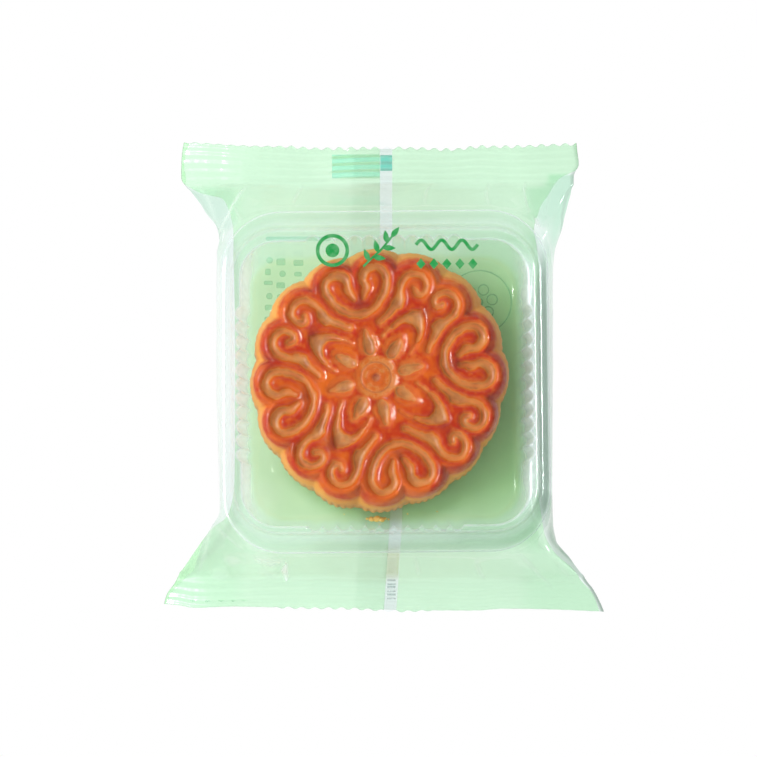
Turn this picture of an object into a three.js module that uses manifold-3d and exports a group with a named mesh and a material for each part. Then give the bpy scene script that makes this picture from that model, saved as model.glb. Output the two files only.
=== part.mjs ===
// Sealed flow-wrap pack that holds one mooncake in a square thermoformed tray.
// The pack lies on its back seam with the cake's patterned face up.
//
// Frame: millimetres, +Z up, X across the pack, Y along it from the bottom
// crimp (-Y) to the top crimp (+Y). The origin is the middle of the bounding
// box on the surface that the pack lies on.
//
// The film is drawn tight over the tray's rim, so the outer form is a loft of
// cross sections along Y whose girth stays nearly the same: a box with rounded
// corners over the tray, then a wedge, then a flat ribbed crimp with a zigzag
// cut edge. Pack, tray and cake can't be told apart from outside without
// opening the wrap, so they are one closed solid.

import * as THREE from "three";
import { mergeVertices } from "three/addons/utils/BufferGeometryUtils.js";
import Module from "manifold-3d";

// ---------------------------------------------------------------- sizes (mm)

const FILM_SAG = 0.35; // how far the film dips between the rim and the middle
const CRIMP_TOP_Y = 48.0; // where the top crimp starts
const CRIMP_BOTTOM_Y = -50.8; // where the bottom crimp starts
const END_TOP_Y = 60.6; // stock that the zigzag cut trims
const END_BOTTOM_Y = -60.9;
const RIB_PITCH = 1.9;
const RIB_HEIGHT = 0.24;
const CORNER_DROOP = 4.3; // how far the crimp's corners hang below its middle
const FAN = 0.0253; // the wrap was cut a little longer on its right side

const TOOTH_PITCH = 2.95;
const TOOTH_DEPTH = 0.95;
const CUT_TOP_Y = 58.1; // middle of the zigzag, at x = 0
const CUT_BOTTOM_Y = -58.2;

// folded back seam on the underside: its fold's x, its width and thickness, and
// how far it wanders sideways, most at y = wanderY
const SEAM = { fold: 2.6, width: 10.2, t: 0.25, wander: 2.7, wanderY: -28, wanderSpan: 30 };
const SEAM_BITE = 0.3; // how deep the seam's solid reaches into the pack's

// One row for each cross section that shapes the wrap, from bottom to top:
// [y, top z, top half-corner left x, right x, widest left x, right x, its z,
//  bottom corner left x, right x, bottom z]
const ROWS = [
  [-60.9, 8.2, -55.2, 55.0, -56.0, 55.9, 7.8, -55.3, 55.1, 7.4],
  [-58.4, 8.2, -54.5, 54.3, -55.3, 55.2, 7.8, -54.6, 54.4, 7.4],
  [-55.7, 8.2, -53.7, 53.2, -54.5, 54.1, 7.8, -53.8, 53.3, 7.4],
  [-52.7, 8.2, -51.6, 51.8, -52.4, 52.6, 7.8, -51.7, 51.9, 7.4],
  [-50.8, 8.3, -50.4, 50.3, -51.3, 51.2, 7.8, -50.6, 50.4, 7.3],
  [-49.7, 11.6, -40.5, 42.0, -50.6, 50.4, 8.1, -49.0, 49.2, 6.3],
  [-48.2, 18.4, -31.5, 33.5, -49.6, 49.3, 8.7, -47.6, 47.9, 4.8],
  [-46.8, 25.0, -26.6, 28.9, -48.8, 48.2, 9.2, -46.2, 46.4, 3.4],
  [-45.6, 29.2, -25.4, 27.8, -48.1, 47.2, 9.6, -45.2, 45.4, 2.4],
  [-44.0, 29.55, -31.6, 34.1, -47.1, 46.0, 10.2, -43.9, 44.0, 1.35],
  [-41.5, 29.55, -35.4, 37.9, -45.5, 44.2, 11.4, -41.9, 42.4, 0.55],
  [-38.0, 29.55, -38.0, 40.5, -42.9, 43.2, 13.2, -39.6, 41.0, 0.25],
  [-34.5, 29.55, -39.3, 41.4, -40.7, 42.8, 15.6, -37.9, 39.9, 0.25],
  [-28.0, 29.55, -39.7, 41.8, -40.6, 42.2, 18.0, -36.8, 39.2, 0.25],
  [-16.0, 29.55, -39.8, 41.9, -41.2, 42.3, 19.0, -36.6, 39.0, 0.25],
  [0.0, 29.55, -39.9, 41.9, -41.7, 42.4, 19.0, -36.6, 39.0, 0.25],
  [16.0, 29.55, -39.9, 41.9, -41.7, 42.4, 18.5, -36.8, 39.2, 0.25],
  [25.0, 29.55, -39.7, 41.8, -41.5, 42.6, 17.0, -37.2, 39.7, 0.25],
  [30.0, 29.55, -39.0, 41.2, -41.4, 43.2, 15.2, -37.8, 40.5, 0.25],
  [34.5, 29.55, -36.9, 39.2, -41.2, 44.7, 13.0, -38.9, 42.2, 0.45],
  [38.0, 29.4, -31.2, 33.4, -42.6, 45.6, 11.4, -40.6, 43.8, 1.2],
  [39.9, 28.6, -25.6, 27.6, -43.9, 46.0, 10.6, -41.9, 44.6, 2.0],
  [41.6, 24.4, -26.5, 28.0, -45.1, 46.5, 9.9, -43.1, 45.2, 3.0],
  [43.6, 18.6, -30.5, 31.5, -46.5, 47.1, 9.1, -44.9, 45.9, 4.3],
  [45.8, 12.8, -38.0, 38.5, -48.0, 47.7, 8.4, -46.8, 46.9, 5.9],
  [48.0, 8.3, -48.6, 47.2, -49.5, 48.2, 7.8, -48.8, 47.4, 7.3],
  [50.1, 8.2, -50.0, 47.4, -50.8, 48.3, 7.8, -50.1, 47.6, 7.4],
  [53.1, 8.2, -49.8, 48.9, -50.6, 49.8, 7.8, -49.9, 49.0, 7.4],
  [56.2, 8.2, -49.4, 48.7, -50.2, 49.6, 7.8, -49.5, 48.9, 7.4],
  [60.6, 8.2, -48.5, 48.3, -49.3, 49.1, 7.8, -48.6, 48.4, 7.4],
];

// ------------------------------------------------------------------- helpers

const mix = (a, b, t) => a + (b - a) * t;
const clamp = (x, lo, hi) => Math.min(hi, Math.max(lo, x));
const smooth = (x, lo, hi) => {
  const t = clamp((x - lo) / (hi - lo), 0, 1);
  return t * t * (3 - 2 * t);
};

// Monotone cubic through the rows, so that no quantity overshoots.
function rowAt(y) {
  let i = 0;
  while (i < ROWS.length - 2 && y > ROWS[i + 1][0]) i++;
  const n = ROWS.length;
  const slope = (k, c) => (ROWS[k + 1][c] - ROWS[k][c]) / (ROWS[k + 1][0] - ROWS[k][0]);
  const tangent = (k, c) => {
    if (k === 0) return slope(0, c);
    if (k === n - 1) return slope(n - 2, c);
    const a = slope(k - 1, c);
    const b = slope(k, c);
    if (a * b <= 0) return 0;
    const ha = ROWS[k][0] - ROWS[k - 1][0];
    const hb = ROWS[k + 1][0] - ROWS[k][0];
    return (3 * (ha + hb)) / ((2 * hb + ha) / a + (hb + 2 * ha) / b);
  };
  const h = ROWS[i + 1][0] - ROWS[i][0];
  const t = clamp((y - ROWS[i][0]) / h, 0, 1);
  const out = [];
  for (let c = 1; c < ROWS[0].length; c++) {
    const p = ROWS[i][c];
    const q = ROWS[i + 1][c];
    const m0 = tangent(i, c) * h;
    const m1 = tangent(i + 1, c) * h;
    const t2 = t * t;
    const t3 = t2 * t;
    out.push((2 * t3 - 3 * t2 + 1) * p + (t3 - 2 * t2 + t) * m0 + (3 * t2 - 2 * t3) * q + (t3 - t2) * m1);
  }
  return out;
}

const inCrimp = (y) => smooth(y, CRIMP_TOP_Y - 0.6, CRIMP_TOP_Y + 0.9) + smooth(-y, -CRIMP_BOTTOM_Y - 0.6, -CRIMP_BOTTOM_Y + 0.9);

// Half of a section, from the bottom middle round the side to the top middle:
// straight runs with each corner turned by a quadratic Bezier.
const FLAT_STEPS = 5;
const TURN_STEPS = 3;
function halfSection(bx, bz, mx, mz, tx, tz, cx, midTop) {
  const E = [cx, bz];
  const B = [bx, bz];
  const M = [mx, mz];
  const T = [tx, tz];
  const C = [cx, midTop];
  const far = (p, q) => Math.hypot(p[0] - q[0], p[1] - q[1]);
  const toward = (p, q, d) => {
    const l = far(p, q) || 1;
    const t = Math.min(d / l, 0.46);
    return [mix(p[0], q[0], t), mix(p[1], q[1], t)];
  };
  const points = [];
  const b0 = toward(B, E, 2.6);
  for (let i = 0; i < FLAT_STEPS; i++) points.push([mix(E[0], b0[0], i / FLAT_STEPS), mix(E[1], b0[1], i / FLAT_STEPS)]);
  const turn = (p0, p1, p2) => {
    for (let i = 0; i <= TURN_STEPS; i++) {
      const t = i / TURN_STEPS;
      const a = (1 - t) * (1 - t);
      const b = 2 * t * (1 - t);
      const c = t * t;
      points.push([a * p0[0] + b * p1[0] + c * p2[0], a * p0[1] + b * p1[1] + c * p2[1]]);
    }
  };
  turn(b0, B, toward(B, M, 3.2));
  turn(toward(M, B, 6.5), M, toward(M, T, 6.5));
  const t1 = toward(T, C, 1.5);
  turn(toward(T, M, 1.5), T, t1);
  for (let i = 1; i <= FLAT_STEPS; i++) {
    const t = i / FLAT_STEPS;
    // the free span sags in a shallow curve
    points.push([mix(t1[0], C[0], t), mix(t1[1], C[1], Math.sin((t * Math.PI) / 2))]);
  }
  return points;
}

// Bends the straight loft into the shape of the real wrap: drooping crimp
// corners, ribs pressed across the crimps, a slow wave along them and a fanned
// cut.
function place(x, y, z) {
  const out = smooth(Math.abs(y), 39, 56);
  const c = inCrimp(y);
  const side = Math.pow(Math.abs(x) / 55, 2.2);
  let nz = z - CORNER_DROOP * side * out;
  nz += c * RIB_HEIGHT * Math.sin((2 * Math.PI * (Math.abs(y) - CRIMP_TOP_Y)) / RIB_PITCH);
  nz += c * 0.45 * Math.sin(x / 6.3 + (y > 0 ? 0.8 : 2.1)) * (1 - 0.5 * side);
  const ny = y * (1 + (FAN * x * smooth(Math.abs(y), 40, 57)) / 50);
  return [x, ny, nz];
}

// -------------------------------------------------------------------- wrap

function stations() {
  const ys = [];
  const push = (y) => ys.push(y);
  const step = RIB_PITCH / 3;
  for (let y = END_BOTTOM_Y; y < CRIMP_BOTTOM_Y - 0.05; y += step) push(y);
  for (const y of [-50.8, -50.3, -49.7, -49.0, -48.2, -47.5, -46.8, -46.2, -45.6, -44.9, -44.0, -42.9, -41.5, -39.8, -38.0, -36.2, -34.5, -31.5, -28, -16, 0, 16, 25, 30, 32.2, 34.5, 36.4, 38, 39, 39.9, 40.7, 41.6, 42.6, 43.6, 44.7, 45.8, 46.9]) push(y);
  for (let y = CRIMP_TOP_Y; y < END_TOP_Y + 1e-6; y += step) push(y);
  return ys;
}

function wrapGeometry() {
  const positions = [];
  const ys = stations();
  let around = 0;
  for (const y of ys) {
    const [tz, txl, txr, mxl, mxr, mz, bxl, bxr, bz] = rowAt(y);
    const cx = (bxl + bxr) / 2;
    const spread = smooth(tz - bz, 4, 24);
    const mid = tz - FILM_SAG * spread;
    const right = halfSection(bxr, bz, mxr, mz, txr, tz, cx, mid);
    const left = halfSection(bxl, bz, mxl, mz, txl, tz, cx, mid);
    const ring = right.concat(left.slice(1, -1).reverse());
    around = ring.length;
    for (const [x, z] of ring) positions.push(...place(x, y, z));
  }
  const index = [];
  const rows = ys.length;
  for (let i = 0; i < rows - 1; i++) {
    for (let j = 0; j < around; j++) {
      const a = i * around + j;
      const b = i * around + ((j + 1) % around);
      const c = a + around;
      const d = b + around;
      index.push(a, c, b, b, c, d);
    }
  }
  // both ends are closed by a strip between the top and the bottom run
  const half = around / 2;
  for (const [base, flip] of [[0, false], [(rows - 1) * around, true]]) {
    for (let k = 0; k < half; k++) {
      const p = base + k;
      const q = base + k + 1;
      const r = base + ((around - k) % around);
      const s = base + (around - k - 1);
      const tri = (u, v, w) => {
        if (u === v || v === w || u === w) return;
        if (flip) index.push(u, w, v);
        else index.push(u, v, w);
      };
      tri(p, q, r);
      tri(q, s, r);
    }
  }
  const g = new THREE.BufferGeometry();
  g.setAttribute("position", new THREE.Float32BufferAttribute(positions, 3));
  g.setIndex(index);
  return g;
}

// The back seam: both edges of the wrap sealed together and folded flat to one
// side, so it is a thin strip along the underside that follows the back panel.
function seamGeometry() {
  const ys = stations();
  const across = 4; // strips across the seam, so that it follows the crimp's wave
  const positions = [];
  for (const y of ys) {
    const bz = rowAt(y)[8];
    const fold = SEAM.fold + SEAM.wander * Math.exp(-(((y - SEAM.wanderY) / SEAM.wanderSpan) ** 2));
    const edge = fold - SEAM.width;
    for (let k = 0; k <= across; k++) positions.push(...place(mix(edge, fold, k / across), y, bz - SEAM.t));
    for (let k = across; k >= 0; k--) positions.push(...place(mix(edge, fold, k / across), y, bz + SEAM_BITE));
  }
  const around = 2 * (across + 1);
  const index = [];
  const n = ys.length;
  for (let i = 0; i < n - 1; i++) {
    for (let j = 0; j < around; j++) {
      const a = i * around + j;
      const b = i * around + ((j + 1) % around);
      index.push(a, a + around, b, b, a + around, b + around);
    }
  }
  const e = (n - 1) * around;
  for (let k = 0; k < across; k++) {
    const q = around - 1 - k;
    index.push(k, k + 1, q, k + 1, q - 1, q);
    index.push(e + k, e + q, e + k + 1, e + k + 1, e + q, e + q - 1);
  }
  const g = new THREE.BufferGeometry();
  g.setAttribute("position", new THREE.Float32BufferAttribute(positions, 3));
  g.setIndex(index);
  return g;
}

// A block beyond the zigzag line, taken away from the crimp to cut its teeth.
function cutterGeometry(sign) {
  const shape = new THREE.Shape();
  const reach = 62;
  const middle = sign > 0 ? CUT_TOP_Y : CUT_BOTTOM_Y;
  const line = (x) => middle + (sign > 0 ? FAN : -FAN) * (x / 50) * Math.abs(middle);
  shape.moveTo(-reach, sign * 70);
  const teeth = Math.floor((2 * reach) / TOOTH_PITCH);
  for (let i = 0; i <= 2 * teeth; i++) {
    const x = -reach + (i * TOOTH_PITCH) / 2;
    shape.lineTo(x, line(x) + (i % 2 ? 1 : -1) * (TOOTH_DEPTH / 2));
  }
  shape.lineTo(reach, line(reach));
  shape.lineTo(reach, sign * 70);
  shape.closePath();
  const g = new THREE.ExtrudeGeometry(shape, { depth: 30, bevelEnabled: false, steps: 1, curveSegments: 1 });
  g.translate(0, 0, -8);
  return g;
}

// ------------------------------------------------------------------- solids

const wasm = await Module();
wasm.setup();

function toSolid(geometry) {
  const g = geometry.clone();
  g.deleteAttribute("normal");
  g.deleteAttribute("uv");
  const merged = mergeVertices(g, 1e-4);
  const solid = new wasm.Manifold(
    new wasm.Mesh({
      numProp: 3,
      vertProperties: new Float32Array(merged.attributes.position.array),
      triVerts: new Uint32Array(merged.index.array),
    }),
  );
  return solid;
}

function toGeometry(solid) {
  const mesh = solid.getMesh();
  const count = mesh.vertProperties.length / mesh.numProp;
  const positions = new Float32Array(count * 3);
  for (let i = 0; i < count; i++) for (let k = 0; k < 3; k++) positions[i * 3 + k] = mesh.vertProperties[i * mesh.numProp + k];
  const g = new THREE.BufferGeometry();
  g.setAttribute("position", new THREE.BufferAttribute(positions, 3));
  g.setIndex(new THREE.BufferAttribute(new Uint32Array(mesh.triVerts), 1));
  g.computeVertexNormals();
  return g;
}

const wrap = toSolid(wrapGeometry());
const seam = toSolid(seamGeometry());
const pack = wrap.add(seam).subtract(toSolid(cutterGeometry(1))).subtract(toSolid(cutterGeometry(-1)));

// ------------------------------------------------------------------- scene

const film = new THREE.MeshStandardMaterial({
  name: "film",
  color: new THREE.Color(0.8, 0.93, 0.8),
  roughness: 0.25,
  metalness: 0.0,
  transparent: true,
  opacity: 0.6,
});

const sealedPack = new THREE.Mesh(toGeometry(pack), film);
sealedPack.name = "sealed_pack";
const box = new THREE.Box3().setFromBufferAttribute(sealedPack.geometry.attributes.position);
sealedPack.position.set(-(box.min.x + box.max.x) / 2, -(box.min.y + box.max.y) / 2, -box.min.z);

const group = new THREE.Group();
group.add(sealedPack);

export default group;
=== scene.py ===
import math

import bpy
import numpy as np
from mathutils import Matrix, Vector


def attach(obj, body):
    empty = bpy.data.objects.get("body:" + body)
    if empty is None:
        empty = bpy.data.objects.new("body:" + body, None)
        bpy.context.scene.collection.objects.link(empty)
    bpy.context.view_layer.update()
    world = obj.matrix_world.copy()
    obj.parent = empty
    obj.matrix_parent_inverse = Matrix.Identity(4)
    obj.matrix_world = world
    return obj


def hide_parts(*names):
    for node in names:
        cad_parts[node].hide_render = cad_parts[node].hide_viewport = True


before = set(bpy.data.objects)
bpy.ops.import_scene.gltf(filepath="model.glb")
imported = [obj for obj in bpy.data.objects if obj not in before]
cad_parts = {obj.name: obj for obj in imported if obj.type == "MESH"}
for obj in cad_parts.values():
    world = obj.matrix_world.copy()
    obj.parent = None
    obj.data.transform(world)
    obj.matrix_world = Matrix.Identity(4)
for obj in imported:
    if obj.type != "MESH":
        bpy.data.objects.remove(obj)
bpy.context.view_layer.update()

# Everything below is worked out in millimetres in the frame of the wrap's loft,
# then moved by OFF into the CAD frame and scaled to metres.
MM = 0.001
OFF = np.array([0.0881, 0.1164, 0.0])
scene = bpy.context.scene


# ------------------------------------------------------------------ helpers

def smooth(x, lo, hi):
    t = np.clip((x - lo) / (hi - lo), 0.0, 1.0)
    return t * t * (3 - 2 * t)


def mix(a, b, t):
    return a + (b - a) * t


def unit(deg):
    a = math.radians(deg)
    return np.array([math.cos(a), math.sin(a)])


def curve_through(points, per=8):
    """Catmull-Rom curve through open points of any width, with per steps a span."""
    p = np.asarray(points, float)
    ext = np.vstack([2 * p[0] - p[1], p, 2 * p[-1] - p[-2]])
    out = []
    for i in range(len(p) - 1):
        a, b, c, d = ext[i], ext[i + 1], ext[i + 2], ext[i + 3]
        for k in range(per):
            t = k / per
            out.append(0.5 * ((2 * b) + (c - a) * t + (2 * a - 5 * b + 4 * c - d) * t * t
                              + (3 * b - a - 3 * c + d) * t ** 3))
    out.append(p[-1])
    return np.array(out)


def monotone(xs, ys):
    """A monotone cubic through the points, as a function of an array."""
    xs, ys = np.asarray(xs, float), np.asarray(ys, float)
    h = np.diff(xs)
    s = np.diff(ys) / h
    m = np.zeros_like(ys)
    m[0], m[-1] = s[0], s[-1]
    for k in range(1, len(xs) - 1):
        if s[k - 1] * s[k] > 0:
            m[k] = 3 * (h[k - 1] + h[k]) / ((2 * h[k] + h[k - 1]) / s[k - 1] + (h[k] + 2 * h[k - 1]) / s[k])

    def at(x):
        x = np.clip(np.asarray(x, float), xs[0], xs[-1])
        i = np.clip(np.searchsorted(xs, x, side="right") - 1, 0, len(xs) - 2)
        t = (x - xs[i]) / h[i]
        t2, t3 = t * t, t ** 3
        return ((2 * t3 - 3 * t2 + 1) * ys[i] + (t3 - 2 * t2 + t) * m[i] * h[i]
                + (3 * t2 - 2 * t3) * ys[i + 1] + (t3 - t2) * m[i + 1] * h[i])

    return at


def wobble(seed, n=7, lo=1.0, hi=4.0):
    """A smooth random function of one number, about -1 to 1."""
    r = np.random.default_rng(seed)
    f, ph, a = r.uniform(lo, hi, n), r.uniform(0, 2 * math.pi, n), r.uniform(0.5, 1.0, n)
    a /= a.sum() ** 0.5 * 1.2

    def at(x):
        x = np.asarray(x, float)
        return sum(a[k] * np.sin(f[k] * x + ph[k]) for k in range(n))

    return at


def build(name, verts, faces, smooth_shade=True, attrs=None, materials=(), face_material=None):
    """An object from vertices in millimetres and lists of quads and triangles."""
    verts = (np.asarray(verts, float) + OFF) * MM
    quads = [np.asarray(f, np.int64).reshape(-1, f_n) for f, f_n in faces if len(f)]
    me = bpy.data.meshes.new(name)
    me.vertices.add(len(verts))
    me.vertices.foreach_set("co", verts.astype(np.float32).ravel())
    loops = np.concatenate([q.ravel() for q in quads])
    totals = np.concatenate([np.full(len(q), q.shape[1]) for q in quads])
    starts = np.concatenate([[0], np.cumsum(totals)[:-1]])
    me.loops.add(len(loops))
    me.loops.foreach_set("vertex_index", loops.astype(np.int32))
    me.polygons.add(len(totals))
    me.polygons.foreach_set("loop_start", starts.astype(np.int32))
    for m in materials:
        me.materials.append(m)
    if face_material is not None:
        me.polygons.foreach_set("material_index", np.asarray(face_material, np.int32))
    me.update(calc_edges=True)
    me.validate(clean_customdata=False)
    me.polygons.foreach_set("use_smooth", np.full(len(me.polygons), smooth_shade))
    for key, values in (attrs or {}).items():
        values = np.asarray(values, np.float32)
        if values.ndim == 2:
            a = me.attributes.new(key, "FLOAT_VECTOR", "POINT")
            a.data.foreach_set("vector", values.ravel())
        else:
            a = me.attributes.new(key, "FLOAT", "POINT")
            a.data.foreach_set("value", values)
    me.update()
    ob = bpy.data.objects.new(name, me)
    scene.collection.objects.link(ob)
    return ob


# ------------------------------------------------------- the wrap's own loft

CRIMP_TOP_Y, CRIMP_BOTTOM_Y = 48.0, -50.8
CUT_TOP_Y, CUT_BOTTOM_Y = 58.1, -58.2
TOOTH_DEPTH = 0.72
RIB_PITCH, RIB_HEIGHT = 1.9, 0.16
CORNER_DROOP, FAN, FILM_SAG = 4.3, 0.0253, 0.35
SEAM_FOLD, SEAM_WIDTH, SEAM_T = 2.6, 10.2, 0.25

# y, top z, top corner left x, right x, widest left x, right x, its z, bottom
# corner left x, right x, bottom z: the CAD wrap's rows, a little wider at the gussets
ROWS = np.array([
    [-60.9, 8.2, -55.2, 55.0, -56.0, 55.9, 7.8, -55.3, 55.1, 7.4],
    [-58.4, 8.2, -54.5, 54.3, -55.3, 55.2, 7.8, -54.6, 54.4, 7.4],
    [-55.7, 8.2, -53.7, 53.2, -54.5, 54.1, 7.8, -53.8, 53.3, 7.4],
    [-52.7, 8.2, -51.6, 51.8, -52.4, 52.6, 7.8, -51.7, 51.9, 7.4],
    [-50.8, 8.3, -50.4, 50.3, -51.3, 51.2, 7.8, -50.6, 50.4, 7.3],
    [-49.7, 11.6, -40.5, 42.0, -50.6, 51.0, 8.1, -49.0, 49.2, 6.3],
    [-48.2, 18.4, -31.5, 33.5, -49.6, 50.1, 8.7, -47.6, 47.9, 4.8],
    [-46.8, 25.0, -26.6, 28.9, -48.8, 48.9, 9.2, -46.2, 46.4, 3.4],
    [-45.6, 29.2, -25.4, 27.8, -48.1, 47.6, 9.6, -45.2, 45.4, 2.4],
    [-44.0, 29.55, -31.6, 34.1, -47.1, 46.0, 10.2, -43.9, 44.0, 1.35],
    [-41.5, 29.55, -35.4, 37.9, -45.5, 44.2, 11.4, -41.9, 42.4, 0.55],
    [-38.0, 29.55, -38.0, 40.5, -42.9, 43.2, 13.2, -39.6, 41.0, 0.25],
    [-34.5, 29.55, -39.3, 41.4, -40.7, 42.8, 15.6, -37.9, 39.9, 0.25],
    [-28.0, 29.55, -39.7, 41.8, -40.6, 42.2, 18.0, -36.8, 39.2, 0.25],
    [-16.0, 29.55, -39.8, 41.9, -41.2, 42.3, 19.0, -36.6, 39.0, 0.25],
    [0.0, 29.55, -39.9, 41.9, -41.7, 42.7, 19.0, -36.6, 39.0, 0.25],
    [16.0, 29.55, -39.9, 41.9, -41.7, 42.8, 18.5, -36.8, 39.2, 0.25],
    [25.0, 29.55, -39.7, 41.8, -41.8, 43.1, 17.0, -37.2, 39.7, 0.25],
    [30.0, 29.55, -39.0, 41.2, -41.9, 43.8, 15.2, -37.8, 40.5, 0.25],
    [34.5, 29.55, -36.9, 39.2, -41.4, 45.4, 13.0, -38.9, 42.2, 0.45],
    [38.0, 29.4, -31.2, 33.4, -43.0, 46.5, 11.4, -40.6, 43.8, 1.2],
    [39.9, 28.6, -25.6, 27.6, -44.5, 46.9, 10.6, -41.9, 44.6, 2.0],
    [41.6, 24.4, -26.5, 28.0, -45.8, 47.4, 9.9, -43.1, 45.2, 3.0],
    [43.6, 18.6, -30.5, 31.5, -47.1, 47.9, 9.1, -44.9, 45.9, 4.3],
    [45.8, 12.8, -38.0, 38.5, -48.4, 48.4, 8.4, -46.8, 46.9, 5.9],
    [48.0, 8.3, -48.6, 47.2, -49.6, 48.9, 7.8, -48.8, 47.4, 7.3],
    [50.1, 8.2, -50.0, 47.4, -50.8, 48.9, 7.8, -50.1, 47.6, 7.4],
    [53.1, 8.2, -49.8, 48.9, -50.6, 50.1, 7.8, -49.9, 49.0, 7.4],
    [56.2, 8.2, -49.4, 48.7, -50.2, 49.6, 7.8, -49.5, 48.9, 7.4],
    [60.6, 8.2, -48.5, 48.3, -49.3, 49.1, 7.8, -48.6, 48.4, 7.4],
])
ROW_FUNCTIONS = [monotone(ROWS[:, 0], ROWS[:, c]) for c in range(1, 10)]


def row_at(y):
    return [float(f(y)) for f in ROW_FUNCTIONS]


def in_crimp(y):
    return (smooth(y, CRIMP_TOP_Y - 0.6, CRIMP_TOP_Y + 0.9)
            + smooth(-y, -CRIMP_BOTTOM_Y - 0.6, -CRIMP_BOTTOM_Y + 0.9))


def half_section(bx, bz, mx, mz, tx, tz, cx, mid_top):
    """From the bottom middle round one side to the top middle, and the number of
    its points up to the side's widest place."""
    E, B, M, T, C = (np.array(p, float) for p in ((cx, bz), (bx, bz), (mx, mz), (tx, tz), (cx, mid_top)))

    def toward(p, q, d):
        return mix(p, q, min(d / max(np.linalg.norm(q - p), 1e-6), 0.46))

    def turn(p0, p1, p2, n=14):
        t = np.linspace(0, 1, n + 1)[:, None]
        return (1 - t) ** 2 * p0 + 2 * t * (1 - t) * p1 + t * t * p2

    b0 = toward(B, E, 2.6)
    parts = [mix(E, b0, np.linspace(0, 1, 30, endpoint=False)[:, None]),
             turn(b0, B, toward(B, M, 3.2))]
    m = turn(toward(M, B, 6.5), M, toward(M, T, 6.5))
    parts += [m[:8]]
    split = sum(len(p) for p in parts)
    parts += [m[8:]]
    t1 = toward(T, C, 1.5)
    parts += [turn(toward(T, M, 1.5), T, t1)]
    t = np.linspace(0, 1, 30)[1:]
    parts += [np.column_stack([mix(t1[0], C[0], t), mix(t1[1], C[1], np.sin(t * math.pi / 2))])]
    return np.vstack(parts), split


CUT_TOP = monotone([-56, -48.5, -43, -39, -35, -31, -24, -17, 0, 8, 17.5, 25, 33, 45, 56],
                   [2.6, 2.5, 2.0, 1.5, 1.1, 0.8, 0.5, -0.2, -0.7, -1.0, -1.5, -0.9, -1.1, -0.8, -0.6])
CUT_BOTTOM = monotone([-58, -52, -47, -42, -37, -20, -8, 4, 14, 24, 30, 42, 58],
                      [-0.8, -1.1, -1.7, -1.4, -1.1, -1.0, -0.8, -1.1, -0.6, -0.3, 0.3, 0.5, 0.3])


def place(x, y, z):
    """The real wrap's bends: drooping crimp corners, ribs, a slow wave, a fanned cut."""
    out = smooth(np.abs(y), 39, 56)
    c = in_crimp(y)
    side = (np.abs(x) / 55) ** 2.2
    z = z - CORNER_DROOP * side * out
    z = z + c * RIB_HEIGHT * (1 - 0.7 * side) * np.sin(2 * math.pi * (np.abs(y) - CRIMP_TOP_Y) / RIB_PITCH + 0.9 * np.sin(x / 11 + 0.07 * y) + 0.5 * np.sin(x / 4.7))
    z = z + c * 0.45 * np.sin(x / 6.3 + np.where(y > 0, 0.8, 2.1)) * (1 - 0.5 * side)
    end = smooth(np.abs(y), 46, 57)
    shift = np.where(y > 0, CUT_TOP(x), CUT_BOTTOM(x)) * end
    wide = np.where(y > 0, np.where(x < 0, 0.7, 0.2), np.where(x < 0, -0.2, 1.0)) * side * end
    return x + np.sign(x) * wide, y * (1 + FAN * x * smooth(np.abs(y), 40, 57) / 50) + shift, z


def resample(points, n):
    """n + 1 points evenly along a polyline, with the length up to each."""
    seg = np.linalg.norm(np.diff(points, axis=0), axis=1)
    s = np.concatenate([[0], np.cumsum(seg)])
    u = np.linspace(0, s[-1], n + 1)
    return np.column_stack([np.interp(u, s, points[:, k]) for k in range(points.shape[1])]), u


def seam_fold(y):
    return SEAM_FOLD + 2.7 * np.exp(-(((y + 28) / 30) ** 2))


# ----------------------------------------------------------------- the film

COLS = 264  # columns of each layer: 8 to a tooth of the cut

# how far the green print reaches round from the seam, in mm along the film:
# (y, absolute reach or None, reach past the wrap's side fold)
GREEN_LEFT = [(-61, None, 0.5), (-56, None, 0.9), (-52.5, None, 1.4), (-49.5, None, 1.7), (-45, None, 1.6), (-41.5, None, 0.6),
              (-38.5, None, -3.0), (-36.0, 44.0, 0), (-34.5, 41.4, 0), (-31, 40.2, 0), (-24, 39.6, 0), (0, 39.4, 0), (36, 39.4, 0),
              (43.5, 39.9, 0), (45.2, 40.8, 0), (46.6, 45.4, 0), (48.2, None, -0.6), (50, None, 1.2), (61, None, 1.5)]
GREEN_RIGHT = [(-61, None, -0.7), (-55, None, -0.9), (-51, None, -1.5), (-47.8, None, -4.2), (-44.5, 44.0, 0), (-39.1, 40.6, 0), (-34, 39.9, 0),
               (-29, 39.5, 0), (0, 39.2, 0), (25, 39.2, 0), (34, 37.6, 0), (37, 37.0, 0), (42.5, 39.2, 0), (46.5, 43.0, 0),
               (49.5, 46.2, 0), (52, None, 0.0), (61, None, 0.4)]


def green_reach(table, y, fold):
    ys = [r[0] for r in table]
    vs = [(fold(r[0]) + r[2]) if r[1] is None else r[1] for r in table]
    return float(monotone(ys, vs)(y))


def film_rows():
    ys = list(np.linspace(CUT_BOTTOM_Y, CRIMP_BOTTOM_Y - 0.4, 24))
    ys += list(np.linspace(CRIMP_BOTTOM_Y, -34.0, 40))
    ys += list(np.linspace(-32.4, 28.4, 36))
    ys += list(np.linspace(30.0, CRIMP_TOP_Y - 0.3, 42))
    ys += list(np.linspace(CRIMP_TOP_Y, CUT_TOP_Y, 32))
    return np.array(ys)


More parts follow.
